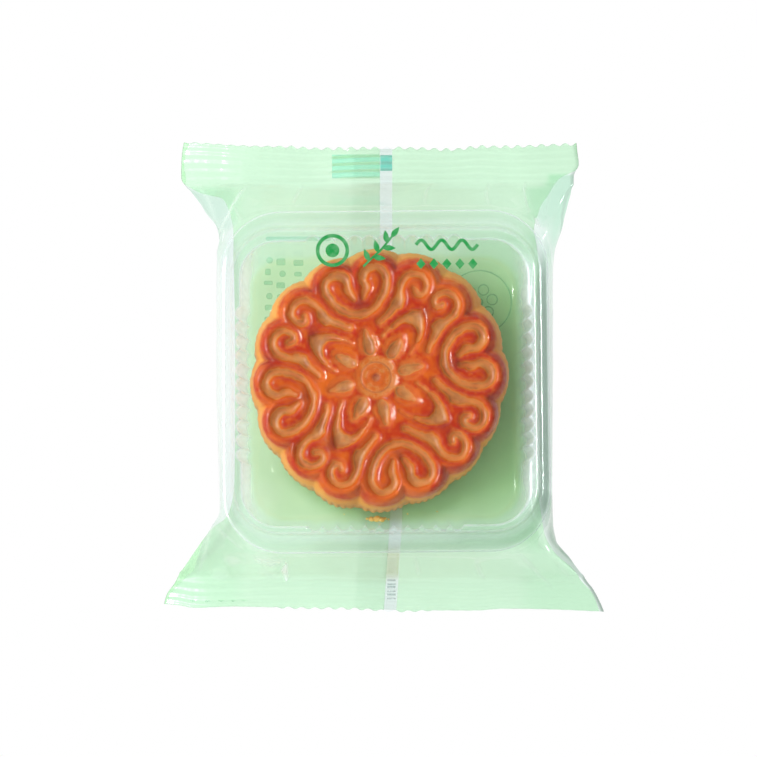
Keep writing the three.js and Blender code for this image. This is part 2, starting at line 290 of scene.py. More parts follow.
def polyline_distance(px, py, line):
    """Distance of each point from a polyline, how far along it is from 0 to 1, and
    on which side it lies."""
    best = np.full(px.shape, 1e9)
    along = np.zeros(px.shape)
    side = np.zeros(px.shape)
    seg = np.linalg.norm(np.diff(line, axis=0), axis=1)
    s = np.concatenate([[0], np.cumsum(seg)]) / seg.sum()
    for k in range(len(line) - 1):
        a, b = line[k], line[k + 1]
        ab = b - a
        l2 = max(float(ab @ ab), 1e-9)
        t = np.clip(((px - a[0]) * ab[0] + (py - a[1]) * ab[1]) / l2, 0, 1)
        dx, dy = px - (a[0] + t * ab[0]), py - (a[1] + t * ab[1])
        d = np.hypot(dx, dy)
        near = d < best
        best = np.where(near, d, best)
        along = np.where(near, s[k] + t * (s[k + 1] - s[k]), along)
        side = np.where(near, np.sign(ab[0] * dy - ab[1] * dx), side)
    return best, along, side


# creases of the front layer: points (x, y), half-width, height
FRONT_CREASES = [
    ([(-34.4, 47.4), (-36.9, 41.2), (-39.9, 35.4)], 0.7, 0.75),
    ([(-37.0, 42.3), (-34.6, 36.2)], 0.6, 0.35),
    ([(-46.8, 48.4), (-43.4, 43.5), (-41.2, 37.0)], 1.0, 0.28),
    ([(-29.5, 47.8), (-30.5, 44.0), (-31.0, 40.6)], 0.8, -0.4),
    ([(-20.0, 48.0), (-21.5, 43.8), (-21.8, 41.0)], 0.9, 0.35),
    ([(-7.0, 48.0), (-8.5, 44.5), (-9.0, 41.5)], 1.1, -0.3),
    ([(12.5, 48.2), (11.0, 44.6), (10.6, 41.2)], 0.9, 0.3),
    ([(27.0, 48.3), (26.2, 44.4), (26.4, 41.0)], 0.8, 0.4),
    ([(36.2, 48.6), (35.6, 44.0), (36.6, 39.2)], 0.75, 0.55),
    ([(44.4, 50.0), (41.6, 43.6), (40.8, 37.0)], 0.9, 0.18),
    ([(46.4, 49.0), (44.6, 42.4), (43.0, 35.6)], 0.7, -0.35),
    ([(-38.5, -35.6), (-32.4, -43.0), (-28.2, -45.4)], 1.0, 0.40),
    ([(-41.1, -38.0), (-34.4, -44.2)], 0.55, 0.34),
    ([(-41.8, -37.2), (-43.6, -43.6), (-46.2, -50.4)], 1.1, 0.30),
    ([(-43.2, -38.0), (-47.0, -45.6), (-51.6, -53.0)], 1.2, -0.15),
    ([(-23.3, -46.6), (-23.5, -51.6)], 0.45, 0.25),
    ([(-9.0, -46.6), (-8.0, -50.9)], 1.0, -0.35),
    ([(8.2, -46.6), (9.4, -50.9)], 0.9, 0.35),
    ([(23.0, -46.8), (25.6, -51.2)], 0.9, 0.4),
    ([(37.0, -42.2), (43.0, -46.6), (48.6, -52.6)], 1.0, 0.16),
    ([(38.6, -40.4), (43.6, -43.4), (51.0, -51.2)], 0.9, -0.3),
    ([(40.6, -36.6), (44.8, -42.0), (50.0, -48.6)], 0.9, 0.10),
    ([(33.0, -44.6), (38.0, -48.8), (42.6, -53.2)], 0.8, 0.4),
]


def make_film_grid():
    ys = film_rows()
    fold_arcs = {}
    rows = []
    for y in ys:
        tz, txl, txr, mxl, mxr, mz, bxl, bxr, bz = row_at(y)
        cx = (bxl + bxr) / 2
        mid = tz - FILM_SAG * float(smooth(tz - bz, 4, 24))
        right, ns = half_section(bxr, bz, mxr, mz, txr, tz, cx, mid)
        left, _ = half_section(bxl, bz, mxl, mz, txl, tz, cx, mid)
        back = np.vstack([left[:ns][::-1], right[1:ns]])
        front = np.vstack([left[ns - 1:], right[ns - 1:-1][::-1]])
        B, sb = resample(back, COLS)
        F, sf = resample(front, COLS)
        lower_left = float(np.linalg.norm(np.diff(left[:ns], axis=0), axis=1).sum())
        lower_right = float(np.linalg.norm(np.diff(right[:ns], axis=0), axis=1).sum())
        rows.append((y, B, sb - lower_left, F, sf, lower_left, lower_right))
    fold_l = monotone(ys, [r[5] for r in rows])
    fold_r = monotone(ys, [r[6] for r in rows])
    n, m = len(ys), COLS + 1
    back = np.zeros((n, m, 3))
    front = np.zeros((n, m, 3))
    green_b = np.zeros((n, m))
    green_f = np.zeros((n, m))
    edge_b = np.zeros((n, m))
    edge_f = np.zeros((n, m))
    j = np.arange(m)
    zig = np.clip(1.12 * np.cos(2 * math.pi * j / 8), -1, 1)
    rng = np.random.default_rng(5)
    uneven = rng.uniform(0.75, 1.15, m // 7 + 2)
    for i, (y, B, sb, F, sf, ll, lr) in enumerate(rows):
        gl = green_reach(GREEN_LEFT, y, fold_l)
        gr = green_reach(GREEN_RIGHT, y, fold_r)
        near_top = float(smooth(y, CUT_TOP_Y - 1.5, CUT_TOP_Y))
        near_bottom = float(smooth(-y, -CUT_BOTTOM_Y - 1.5, -CUT_BOTTOM_Y))
        # round teeth, worn shallow towards the ends and nearly gone along the bottom
        tooth = zig * uneven[np.minimum((j + 4) // 8, len(uneven) - 1)]
        zt = tooth * mix(0.45, 1.0, smooth(B[:, 0], -36, -18))
        zb = tooth * (0.06 + 0.62 * smooth(B[:, 0], -28, -24) * (1 - smooth(B[:, 0], 8, 15)))
        yy = y + TOOTH_DEPTH / 2 * (near_top * zt - near_bottom * zb)
        squeeze = float(np.clip(in_crimp(y), 0, 1))
        for grid, P in ((back, B), (front, F)):
            z = mix(P[:, 1], 7.8 + (P[:, 1] - 7.8) * 0.16, squeeze)
            grid[i, :, 0], grid[i, :, 1], grid[i, :, 2] = place(P[:, 0], yy, z)
        s = sb
        strip = np.maximum(B[:, 0] - seam_fold(y), seam_fold(y) - 3.1 - B[:, 0])
        green_b[i] = np.minimum(np.minimum(gr - s, gl + s), strip)
        green_f[i] = np.maximum(gr - (lr + (sf[-1] - sf)), gl - (ll + sf))
        edge_b[i] = np.minimum(lr - s, ll + s)
        edge_f[i] = np.minimum(sf, sf[-1] - sf)
    return ys, back, front, green_b, green_f, edge_b, edge_f


FILM_Y, FILM_BACK, FILM_FRONT, GREEN_B, GREEN_F, EDGE_B, EDGE_F = make_film_grid()
PAINTED_GLINT_F = np.zeros_like(EDGE_F)


def grid_normals(G):
    du = np.gradient(G, axis=1)
    dv = np.gradient(G, axis=0)
    n = np.cross(du, dv)
    return n / np.maximum(np.linalg.norm(n, axis=2, keepdims=True), 1e-9)


# painted glints, white patches standing in for the light's reflection on the film: middle (x, y), half sizes, turn,
# strength
PAINTED_GLINTS = [(-7.0, 49.0, 15.0, 9.0, 0, 0.11), (-30.5, -33.0, 8.0, 8.0, 0, 0.10), (-37.5, -2.0, 3.4, 26.0, 0, 0.12),
            (-37.3, -46.9, 3.0, 1.7, -8, 0.22), (-40.6, -50.2, 3.2, 2.2, 0, 0.16), (-28.5, -49.8, 3.4, 1.6, -20, 0.14),
            (38.4, 36.6, 0.7, 2.2, 14, 0.50), (-39.4, 33.6, 0.5, 2.8, -4, 0.40)]
# the same painted glints with straight borders: corners, softness, strength
PAINTED_GLINT_FACETS = [([(-32.3, -45.0), (-31.6, -47.6), (-27.5, -49.4), (-23.2, -48.0), (-23.2, -46.4)], 1.8, 0.40),
                ([(-23.2, -46.5), (-25.4, -49.3), (-24.4, -52.0), (-23.4, -52.4)], 0.6, 0.80)]


def wrinkle_film():
    """Creases, pleats and a slack shimmer, pushed along the film's own normals, with painted glints (white standing in
    for reflected light) along the raised creases and in patches.
    """
    global FILM_FRONT, FILM_BACK, PAINTED_GLINT_F
    N = grid_normals(FILM_FRONT)  # outwards on the front layer
    X, Y, Z = FILM_FRONT[..., 0], FILM_FRONT[..., 1], FILM_FRONT[..., 2]
    inside = 1 - 0.9 * in_crimp(Y)
    push = np.zeros_like(X)
    for points, width, height in FRONT_CREASES:
        line = curve_through(points, 6)
        d, along, side = polyline_distance(X, Y, line)
        # a crease is steep on one side and eases off on the other
        w = np.where(side > 0, width, width * 2.2)
        ease = np.sin(np.clip(along, 0.02, 0.98) * math.pi) ** 0.35
        push += height * np.exp(-((d / w) ** 2)) * ease
        # raised creases also get a painted glint: white along them standing in for the light's reflection
        if height > 0:
            PAINTED_GLINT_F = np.maximum(PAINTED_GLINT_F, min(0.55, 0.55 * height) * np.exp(-((d / (0.5 * width)) ** 2)) * ease)
    for x, y, a, b, turned, strength in PAINTED_GLINTS:
        u, v = unit(turned), unit(turned + 90)
        p = ((X - x) * u[0] + (Y - y) * u[1]) / a
        q = ((X - x) * v[0] + (Y - y) * v[1]) / b
        PAINTED_GLINT_F = np.maximum(PAINTED_GLINT_F, strength * (1 - smooth(np.sqrt(p * p + q * q), 0.25, 1.0)))
    for corners, soft, strength in PAINTED_GLINT_FACETS:
        c = np.array(corners, float)
        within = np.full(X.shape, 1e9)
        for a, b in zip(c, np.roll(c, -1, 0)):
            e = (b - a) / np.linalg.norm(b - a)
            within = np.minimum(within, e[0] * (Y - a[1]) - e[1] * (X - a[0]))
        PAINTED_GLINT_F = np.maximum(PAINTED_GLINT_F, strength * smooth(within, 0.0, soft))
    fibre = np.linspace(-1, 1, COLS + 1)[None, :]
    top = smooth(Y, 39.5, 45) * (1 - smooth(Y, 48.2, 51.5))
    low = smooth(-Y, 45.6, 49) * (1 - smooth(-Y, 50.6, 53.5))
    pleat = wobble(11, 9, 9, 34)
    pleat2 = wobble(12, 9, 9, 30)
    push += top * 0.30 * pleat(fibre) + low * 0.42 * pleat2(fibre)
    # the film spans the rim tight: a very shallow shimmer only
    flat = smooth(Z, 27.5, 29.2)
    push += flat * 0.035 * (np.sin(X / 5.1 + Y / 9.0 + 0.6) + np.sin(X / 8.3 - Y / 4.4))
    # soft upright tension folds on the side walls
    wall = smooth(Z, 2, 7) * (1 - smooth(Z, 24, 28)) * smooth(np.abs(X), 37, 40) * (1 - smooth(np.abs(Y), 34, 44))
    push += wall * 0.06 * np.sin(Y / 2.3 + 1.3 * np.sin(Y / 7.0) + np.sign(X))
    push *= inside
    FILM_FRONT = FILM_FRONT + N * push[..., None]

    NB = -grid_normals(FILM_BACK)
    X, Y, Z = FILM_BACK[..., 0], FILM_BACK[..., 1], FILM_BACK[..., 2]
    pleat = wobble(21, 9, 8, 26)
    lift = smooth(np.abs(Y), 39, 46) * (1 - 0.85 * in_crimp(Y))
    push = lift * 0.35 * pleat(fibre + 0.1 * (Y > 0))
    corner = smooth(Z, 1.0, 4.0) * smooth(np.abs(X), 37, 40)
    push += corner * 0.18 * np.sin(Y / 1.9 + 1.7 * np.sin(X / 3.0)) * (1 - 0.9 * in_crimp(Y))
    FILM_BACK = FILM_BACK + NB * np.clip(push, -0.2, 1.0)[..., None]
    # the two layers share the fold along each side
    for c in (0, COLS):
        both = (FILM_FRONT[:, c] + FILM_BACK[:, c]) / 2
        FILM_FRONT[:, c] = both
        FILM_BACK[:, c] = both
    # nothing goes under the seam's own level
    FILM_BACK[..., 2] = np.maximum(FILM_BACK[..., 2], 0.22)


wrinkle_film()


def film_tones():
    """Where the clear film looks pale mint, takes painted shade (grey) or painted glints (white), for each layer."""
    out = []
    for G, E, milk_and_glint in ((FILM_BACK, EDGE_B, np.zeros_like(PAINTED_GLINT_F)), (FILM_FRONT, EDGE_F, PAINTED_GLINT_F)):
        X, Y, Z = G[..., 0], G[..., 1], G[..., 2]
        low = 1 - smooth(Z, 27.5, 29.2) * (1 - smooth(X, 38.5, 40.5))
        mint = smooth(Y, 22, 33) * (smooth(X, 33, 38) + 0.75 * smooth(-X, 33, 39)) * low
        mint = mint * (1 - smooth(Y, 46.0, 48.6) * (1 - smooth(X, 40, 43))) * (1 - smooth(Y, 48.4, 49.6) * (1 - smooth(X, 41, 43))) * (1 - smooth(Y, 50.4, 51.6)) * (1 - 0.7 * smooth(E, 9, 16))
        mint = np.maximum(mint, 0.30 * smooth(-Y, 28, 36) * smooth(np.abs(X), 33, 39) * (1 - smooth(Z, 27.5, 29.2)))
        # painted shade: a grey-green tint on the right-hand side walls, the right wedge by the bottom crimp and thin
        # lines along the folds, standing in for shadow and the dim room they mirror
        reach = mix(17.0, 1.1, smooth(-Y, 38, 51) ** 0.6)
        painted_shade = smooth(-Y, 28, 34) * (X > 0) * (1 - smooth(E, reach * 0.55, reach))
        painted_shade = np.maximum(painted_shade, 0.55 * smooth(Y, 27, 36) * (X > 0) * (1 - smooth(E, 0.4, 1.3)))
        painted_shade = np.maximum(painted_shade, 0.18 * (X < 0) * (1 - smooth(E, 0.3, 1.0)))
        painted_shade = np.maximum(painted_shade, 0.16 * smooth(X, 39.4, 40.6) * smooth(Y, -34, -28) * (1 - smooth(Y, 30, 36)))
        out.append((mint, painted_shade, milk_and_glint))
    return out


def film_mesh():
    n, m = FILM_BACK.shape[:2]
    verts = [FILM_BACK.reshape(-1, 3), FILM_FRONT[:, 1:-1].reshape(-1, 3)]
    tones = film_tones()
    attrs = {"green": np.concatenate([GREEN_B.ravel(), GREEN_F[:, 1:-1].ravel()])}
    for k, key in enumerate(("mint", "painted_shade", "milk_and_glint")):
        attrs[key] = np.concatenate([tones[0][k].ravel(), tones[1][k][:, 1:-1].ravel()])
    bi = np.arange(n * m).reshape(n, m)
    fi = np.zeros((n, m), np.int64)
    fi[:, 0], fi[:, -1] = bi[:, 0], bi[:, -1]
    fi[:, 1:-1] = n * m + np.arange(n * (m - 2)).reshape(n, m - 2)
    back = np.stack([bi[:-1, :-1], bi[1:, :-1], bi[1:, 1:], bi[:-1, 1:]], -1).reshape(-1, 4)
    front = np.stack([fi[:-1, :-1], fi[:-1, 1:], fi[1:, 1:], fi[1:, :-1]], -1).reshape(-1, 4)
    quads, tris = [back, front], []
    for r, flip in ((0, False), (n - 1, True)):
        a, b, c, d = bi[r, 1:-2], bi[r, 2:-1], fi[r, 2:-1], fi[r, 1:-2]
        q = np.stack([a, b, c, d], -1) if not flip else np.stack([a, d, c, b], -1)
        quads.append(q)
        t = np.array([[bi[r, 0], bi[r, 1], fi[r, 1]], [bi[r, -2], bi[r, -1], fi[r, -2]]])
        tris.append(t if not flip else t[:, ::-1])
    return np.vstack(verts), np.vstack(quads), np.vstack(tris), attrs


def front_z(x, y):
    """Height of the front film over a point of its flat top."""
    X, Y, Z = FILM_FRONT[..., 0], FILM_FRONT[..., 1], FILM_FRONT[..., 2]
    out = np.zeros(len(x))
    for k, (a, b) in enumerate(zip(x, y)):
        i = int(np.clip(np.searchsorted(FILM_Y, b) - 1, 0, len(FILM_Y) - 2))
        t = (b - FILM_Y[i]) / (FILM_Y[i + 1] - FILM_Y[i])
        z0 = np.interp(a, X[i], Z[i])
        z1 = np.interp(a, X[i + 1], Z[i + 1])
        out[k] = mix(z0, z1, t)
    return out


def back_z(x, y):
    X, Z = FILM_BACK[..., 0], FILM_BACK[..., 2]
    out = np.zeros(len(x))
    for k, (a, b) in enumerate(zip(x, y)):
        yy = b / (1 + FAN * a * float(smooth(abs(b), 40, 57)) / 50)
        i = int(np.clip(np.searchsorted(FILM_Y, yy) - 1, 0, len(FILM_Y) - 2))
        t = float(np.clip((yy - FILM_Y[i]) / (FILM_Y[i + 1] - FILM_Y[i]), 0, 1))
        out[k] = mix(np.interp(a, X[i], Z[i]), np.interp(a, X[i + 1], Z[i + 1]), t)
    return out


# ----------------------------------------------------------------- the cake

CAKE = np.array([-1.46, -2.02])  # middle of the rosette
SHIFT = np.array([0.65, -0.45])  # the outer pattern sits a little off it
BODY = np.array([-0.73, -1.92])  # middle of the side wall
CREST_Z, FOOT_Z = 28.0, 1.25
HEART_AXES = [13.6 + 90 * k for k in range(4)]
PETAL_AXES = [58.6 + 90 * k for k in range(4)]

GRID_STEP = 0.1
GRID_REACH = 34.0
GRID_AT = np.arange(-GRID_REACH, GRID_REACH + GRID_STEP / 2, GRID_STEP)
CARVE = np.zeros((len(GRID_AT), len(GRID_AT)))


def window(points, margin):
    lo = np.clip(((points.min(0) - margin + GRID_REACH) / GRID_STEP).astype(int), 0, len(GRID_AT) - 1)
    hi = np.clip(((points.max(0) + margin + GRID_REACH) / GRID_STEP).astype(int) + 2, 1, len(GRID_AT))
    gx, gy = np.meshgrid(GRID_AT[lo[0]:hi[0]], GRID_AT[lo[1]:hi[1]], indexing="ij")
    return (slice(lo[0], hi[0]), slice(lo[1], hi[1])), gx, gy


def carve_profile(d, shoulder, depth):
    """A rounded hollow: full depth at its floor, easing out on to the ridge."""
    return depth * (0.5 + 0.5 * np.cos(math.pi * np.clip(d / shoulder, 0, 1)))


def cut_stroke(points, widths, depth=1.0, shoulder=1.6):
    """Presses a groove of changing half-width along a line."""
    w, gx, gy = window(points, shoulder + float(np.max(widths)))
    d = np.full(gx.shape, 1e9)
    for k in range(len(points) - 1):
        a, b = points[k], points[k + 1]
        ab = b - a
        t = np.clip(((gx - a[0]) * ab[0] + (gy - a[1]) * ab[1]) / max(float(ab @ ab), 1e-9), 0, 1)
        d = np.minimum(d, np.hypot(gx - a[0] - t * ab[0], gy - a[1] - t * ab[1]) - mix(widths[k], widths[k + 1], t))
    CARVE[w] = 1 - (1 - CARVE[w]) * (1 - carve_profile(d, shoulder, depth))


def cut_area(points, depth=1.0, shoulder=1.1):
    """Presses a flat hollow with a closed outline."""
    w, gx, gy = window(points, shoulder + 0.5)
    d = np.full(gx.shape, 1e9)
    inside = np.zeros(gx.shape, bool)
    n = len(points)
    for k in range(n):
        a, b = points[k], points[(k + 1) % n]
        ab = b - a
        t = np.clip(((gx - a[0]) * ab[0] + (gy - a[1]) * ab[1]) / max(float(ab @ ab), 1e-9), 0, 1)
        d = np.minimum(d, np.hypot(gx - a[0] - t * ab[0], gy - a[1] - t * ab[1]))
        if a[1] != b[1]:
            cross = (a[1] > gy) != (b[1] > gy)
            inside ^= cross & (gx < (b[0] - a[0]) * (gy - a[1]) / (b[1] - a[1]) + a[0])
    d = np.where(inside, -d, d)
    CARVE[w] = 1 - (1 - CARVE[w]) * (1 - carve_profile(d, shoulder, depth))


def blurred(values, sigma):
    """Gaussian blur of a square grid, sigma in cells."""
    r = int(math.ceil(3 * sigma))
    k = np.exp(-0.5 * (np.arange(-r, r + 1) / sigma) ** 2)
    k /= k.sum()
    out = values
    for axis in (0, 1):
        pad = [(0, 0), (0, 0)]
        pad[axis] = (r, r)
        p = np.pad(out, pad, mode="edge")
        acc = np.zeros_like(out)
        for i, weight in enumerate(k):
            acc += weight * (p[i:i + out.shape[0]] if axis == 0 else p[:, i:i + out.shape[1]])
        out = acc
    return out


def local(axis, points, mirror, jitter, rng, shifted=True):
    """Pattern points (across, outwards) about an axis, as points about the rosette."""
    p = np.asarray(points, float)[:, :2]
    p = p + rng.normal(0, jitter, p.shape) * (np.abs(p[:, :1]) > 0.3)
    out = np.outer(p[:, 1], unit(axis)) + mirror * np.outer(p[:, 0], unit(axis - 90))
    if shifted:
        out = out + SHIFT * smooth(p[:, 1], 8, 16)[:, None]
    return out


def stroke(axis, table, rng, depth=1.0, shoulder=1.6, jitter=0.07, shifted=True, per=6):
    for mirror in (1, -1):
        pts = local(axis, table, mirror, jitter, rng, shifted)
        full = curve_through(np.column_stack([pts, [r[2] for r in table]]), per)
        cut_stroke(full[:, :2], np.maximum(full[:, 2], 0.02), depth, shoulder)


HEART_CHANNEL = [(0, 16.6, .08), (1.7, 16.85, .08), (3.4, 17.6, .1), (5.0, 18.9, .14), (6.3, 20.6, .18), (7.2, 22.4, .2),
                 (7.6, 24.2, .2), (7.2, 26.0, .2), (6.0, 27.2, .2), (4.3, 27.5, .22), (2.9, 26.9, .25), (2.2, 25.9, .2)]
HEART_INNER = [(1.15, 20.6, .03), (1.8, 21.9, .3), (2.3, 23.1, .52), (2.05, 24.4, .34), (2.1, 25.5, .38), (3.2, 26.8, .35), (4.4, 27.3, .3)]
VOLUTE_CHANNEL = [(7.0, 12.4, .0), (6.7, 13.4, .05), (6.4, 15, .12), (6.15, 17, .28), (5.95, 19.2, .62),
                  (6.9, 21.2, .2), (7.5, 23.4, .18), (7.2, 25.6, .18), (5.8, 27.1, .18), (4.0, 27.4, .18), (2.4, 26.6, .16),
                  (1.6, 25.0, .14), (1.75, 23.5, .12), (2.8, 22.9, .1), (3.8, 23.6, .03)]
PETAL_HOLLOW = [(0, 19.5), (1.1, 18.5), (2.4, 16.7), (3.2, 14.6), (3.45, 13.2), (3.3, 13.2), (2.85, 14.7), (1.9, 15.8),
                (0, 16.3), (-1.9, 15.8), (-2.85, 14.7), (-3.3, 13.2), (-3.45, 13.2), (-3.2, 14.6), (-2.4, 16.7), (-1.1, 18.5)]


def local_point(a, across, out):
    return out * unit(a) + across * unit(a - 90)


def press_pattern():
    rng = np.random.default_rng(17)
    for a in HEART_AXES:
        stroke(a, HEART_CHANNEL, rng, shoulder=1.6)
        stroke(a, HEART_INNER, rng, shoulder=1.15)
    for a in PETAL_AXES:
        stroke(a, VOLUTE_CHANNEL, rng, shoulder=1.5)
        stroke(a, [(0.9, 18.3, .3), (2.2, 16.6, .3), (3.1, 14.8, .22), (3.6, 12.8, .08), (3.9, 11.2, .03), (4.0, 9.4, .0)], rng,
               depth=0.55, shoulder=0.8, jitter=0.03)
        stroke(a, [(5.0, 18.2, .05), (5.6, 19.4, .2)], rng, shoulder=1.1)
        hollow = local(a, PETAL_HOLLOW, 1, 0.05, rng)
        cut_area(hollow, 0.95, 0.95)
    for a in (13, 58, 103, 150, 196, 241, 283, 330):
        tip = 10.9 if a in (58, 150, 241, 330) else 11.6
        p = np.outer([6.6, 7.2, 8.4, 9.6, mix(9.6, tip, 0.6), tip], unit(a + rng.normal(0, 0.7)))
        cut_stroke(p, [.45, .82, .92, .62, .3, .0], 1.0, 0.95)
    for a in (13, 58, 103, 150, 196, 241, 283, 330):
        for m in (1, -1):
            p = [local_point(a, m * x, y) for x, y in ((0.5, 5.9), (1.9, 7.2), (2.15, 8.8), (1.5, 10.5), (0.35, 12.2))]
            cut_stroke(curve_through(np.array(p), 10), np.full(len(curve_through(np.array(p), 10)), 0.05), 0.30, 0.75)
    # the middle: a low disc with a ring round it, in a golden band
    gx, gy = np.meshgrid(GRID_AT, GRID_AT, indexing="ij")
    r = np.hypot(gx, gy)
    disc = np.where(r < 5.6, 0.38 + 0.10 * smooth(r, 3.5, 4.0), 0) * (1 - smooth(r, 4.9, 5.7))
    groove = 0.30 * np.exp(-((r - 3.75) / 0.17) ** 2) + 0.10 * np.exp(-((r - 2.3) / 0.25) ** 2)
    dot = 0.13 * np.exp(-(r / 0.8) ** 4) - 0.06 * np.exp(-((r - 1.7) / 0.7) ** 2) * (r < 3)
    np.maximum(CARVE, np.where(r < 6.2, disc + groove + dot, 0), out=CARVE)


press_pattern()
# the dough rounds every edge off; what stands proud of its surroundings browns most
HEIGHT = 1 - blurred(CARVE, 1.9)
ROUND = 0.55 * HEIGHT + 0.45 * blurred(HEIGHT, 7)
PROUD = HEIGHT - blurred(HEIGHT, 11)


def sample(values, x, y):
    fx = np.clip((x + GRID_REACH) / GRID_STEP, 0, len(GRID_AT) - 1.001)
    fy = np.clip((y + GRID_REACH) / GRID_STEP, 0, len(GRID_AT) - 1.001)
    i, j = fx.astype(int), fy.astype(int)
    s, t = fx - i, fy - j
    return ((values[i, j] * (1 - s) + values[i + 1, j] * s) * (1 - t)
            + (values[i, j + 1] * (1 - s) + values[i + 1, j + 1] * s) * t)


def outline(theta):
    """Radius of the pressed face about its own middle: sixteen round lobes."""
    k = 26.0
    total = np.zeros_like(theta)
    rng = np.random.default_rng(3)
    for axes, across, rho in ((HEART_AXES, 4.9, 5.85), (PETAL_AXES, 4.5, 5.7)):
        for a in axes:
            for m in (1, -1):
                c = 24.2 * unit(a) + m * across * unit(a - 90)
                r = rho + rng.normal(0, 0.12)
                rc, ac = np.hypot(*c), math.atan2(c[1], c[0])
                dl = theta - ac
                s = r * r - (rc * np.sin(dl)) ** 2
                reach = np.where((s > 0) & (np.cos(dl) > 0), rc * np.cos(dl) + np.sqrt(np.maximum(s, 0)), 0)
                total += np.exp(reach * k / 10 - 70)
    return (np.log(np.maximum(total, 1e-30)) + 70) * 10 / k


def scorch(verts):
    """Where the egg wash pooled and darkened: the middle's dot and ring, the hearts'
    clefts and the gaps between the outer lobes."""
    x, y = verts[:, 0] - CAKE[0], verts[:, 1] - CAKE[1]
    r = np.hypot(x, y)
    out = 0.90 * np.exp(-((r / 1.0) ** 4)) + 0.50 * np.exp(-(((r - 3.75) / 0.17) ** 2)) + 0.16 * np.exp(-(((r - 2.3) / 0.2) ** 2))
    rng = np.random.default_rng(8)
    spots = [(a, 19.2, 1.6, 0.85) for a in HEART_AXES] + [(a - 4, 19.9, 1.9, 0.70) for a in PETAL_AXES]
    spots += [(a + d, 27.5, 1.5, 0.62) for a in HEART_AXES for d in (22.5, -22.5)]
    for a, at, size, strength in spots:
        c = at * unit(a + rng.normal(0, 1.0)) + SHIFT
        d = np.hypot(x - c[0], y - c[1]) / (size * rng.uniform(0.8, 1.2))
        out += 1.1 * strength * rng.uniform(0.65, 1.0) * np.exp(-(d ** 2))
    return np.clip(out, 0, 0.85) * (verts[:, 2] > CREST_Z - 3)


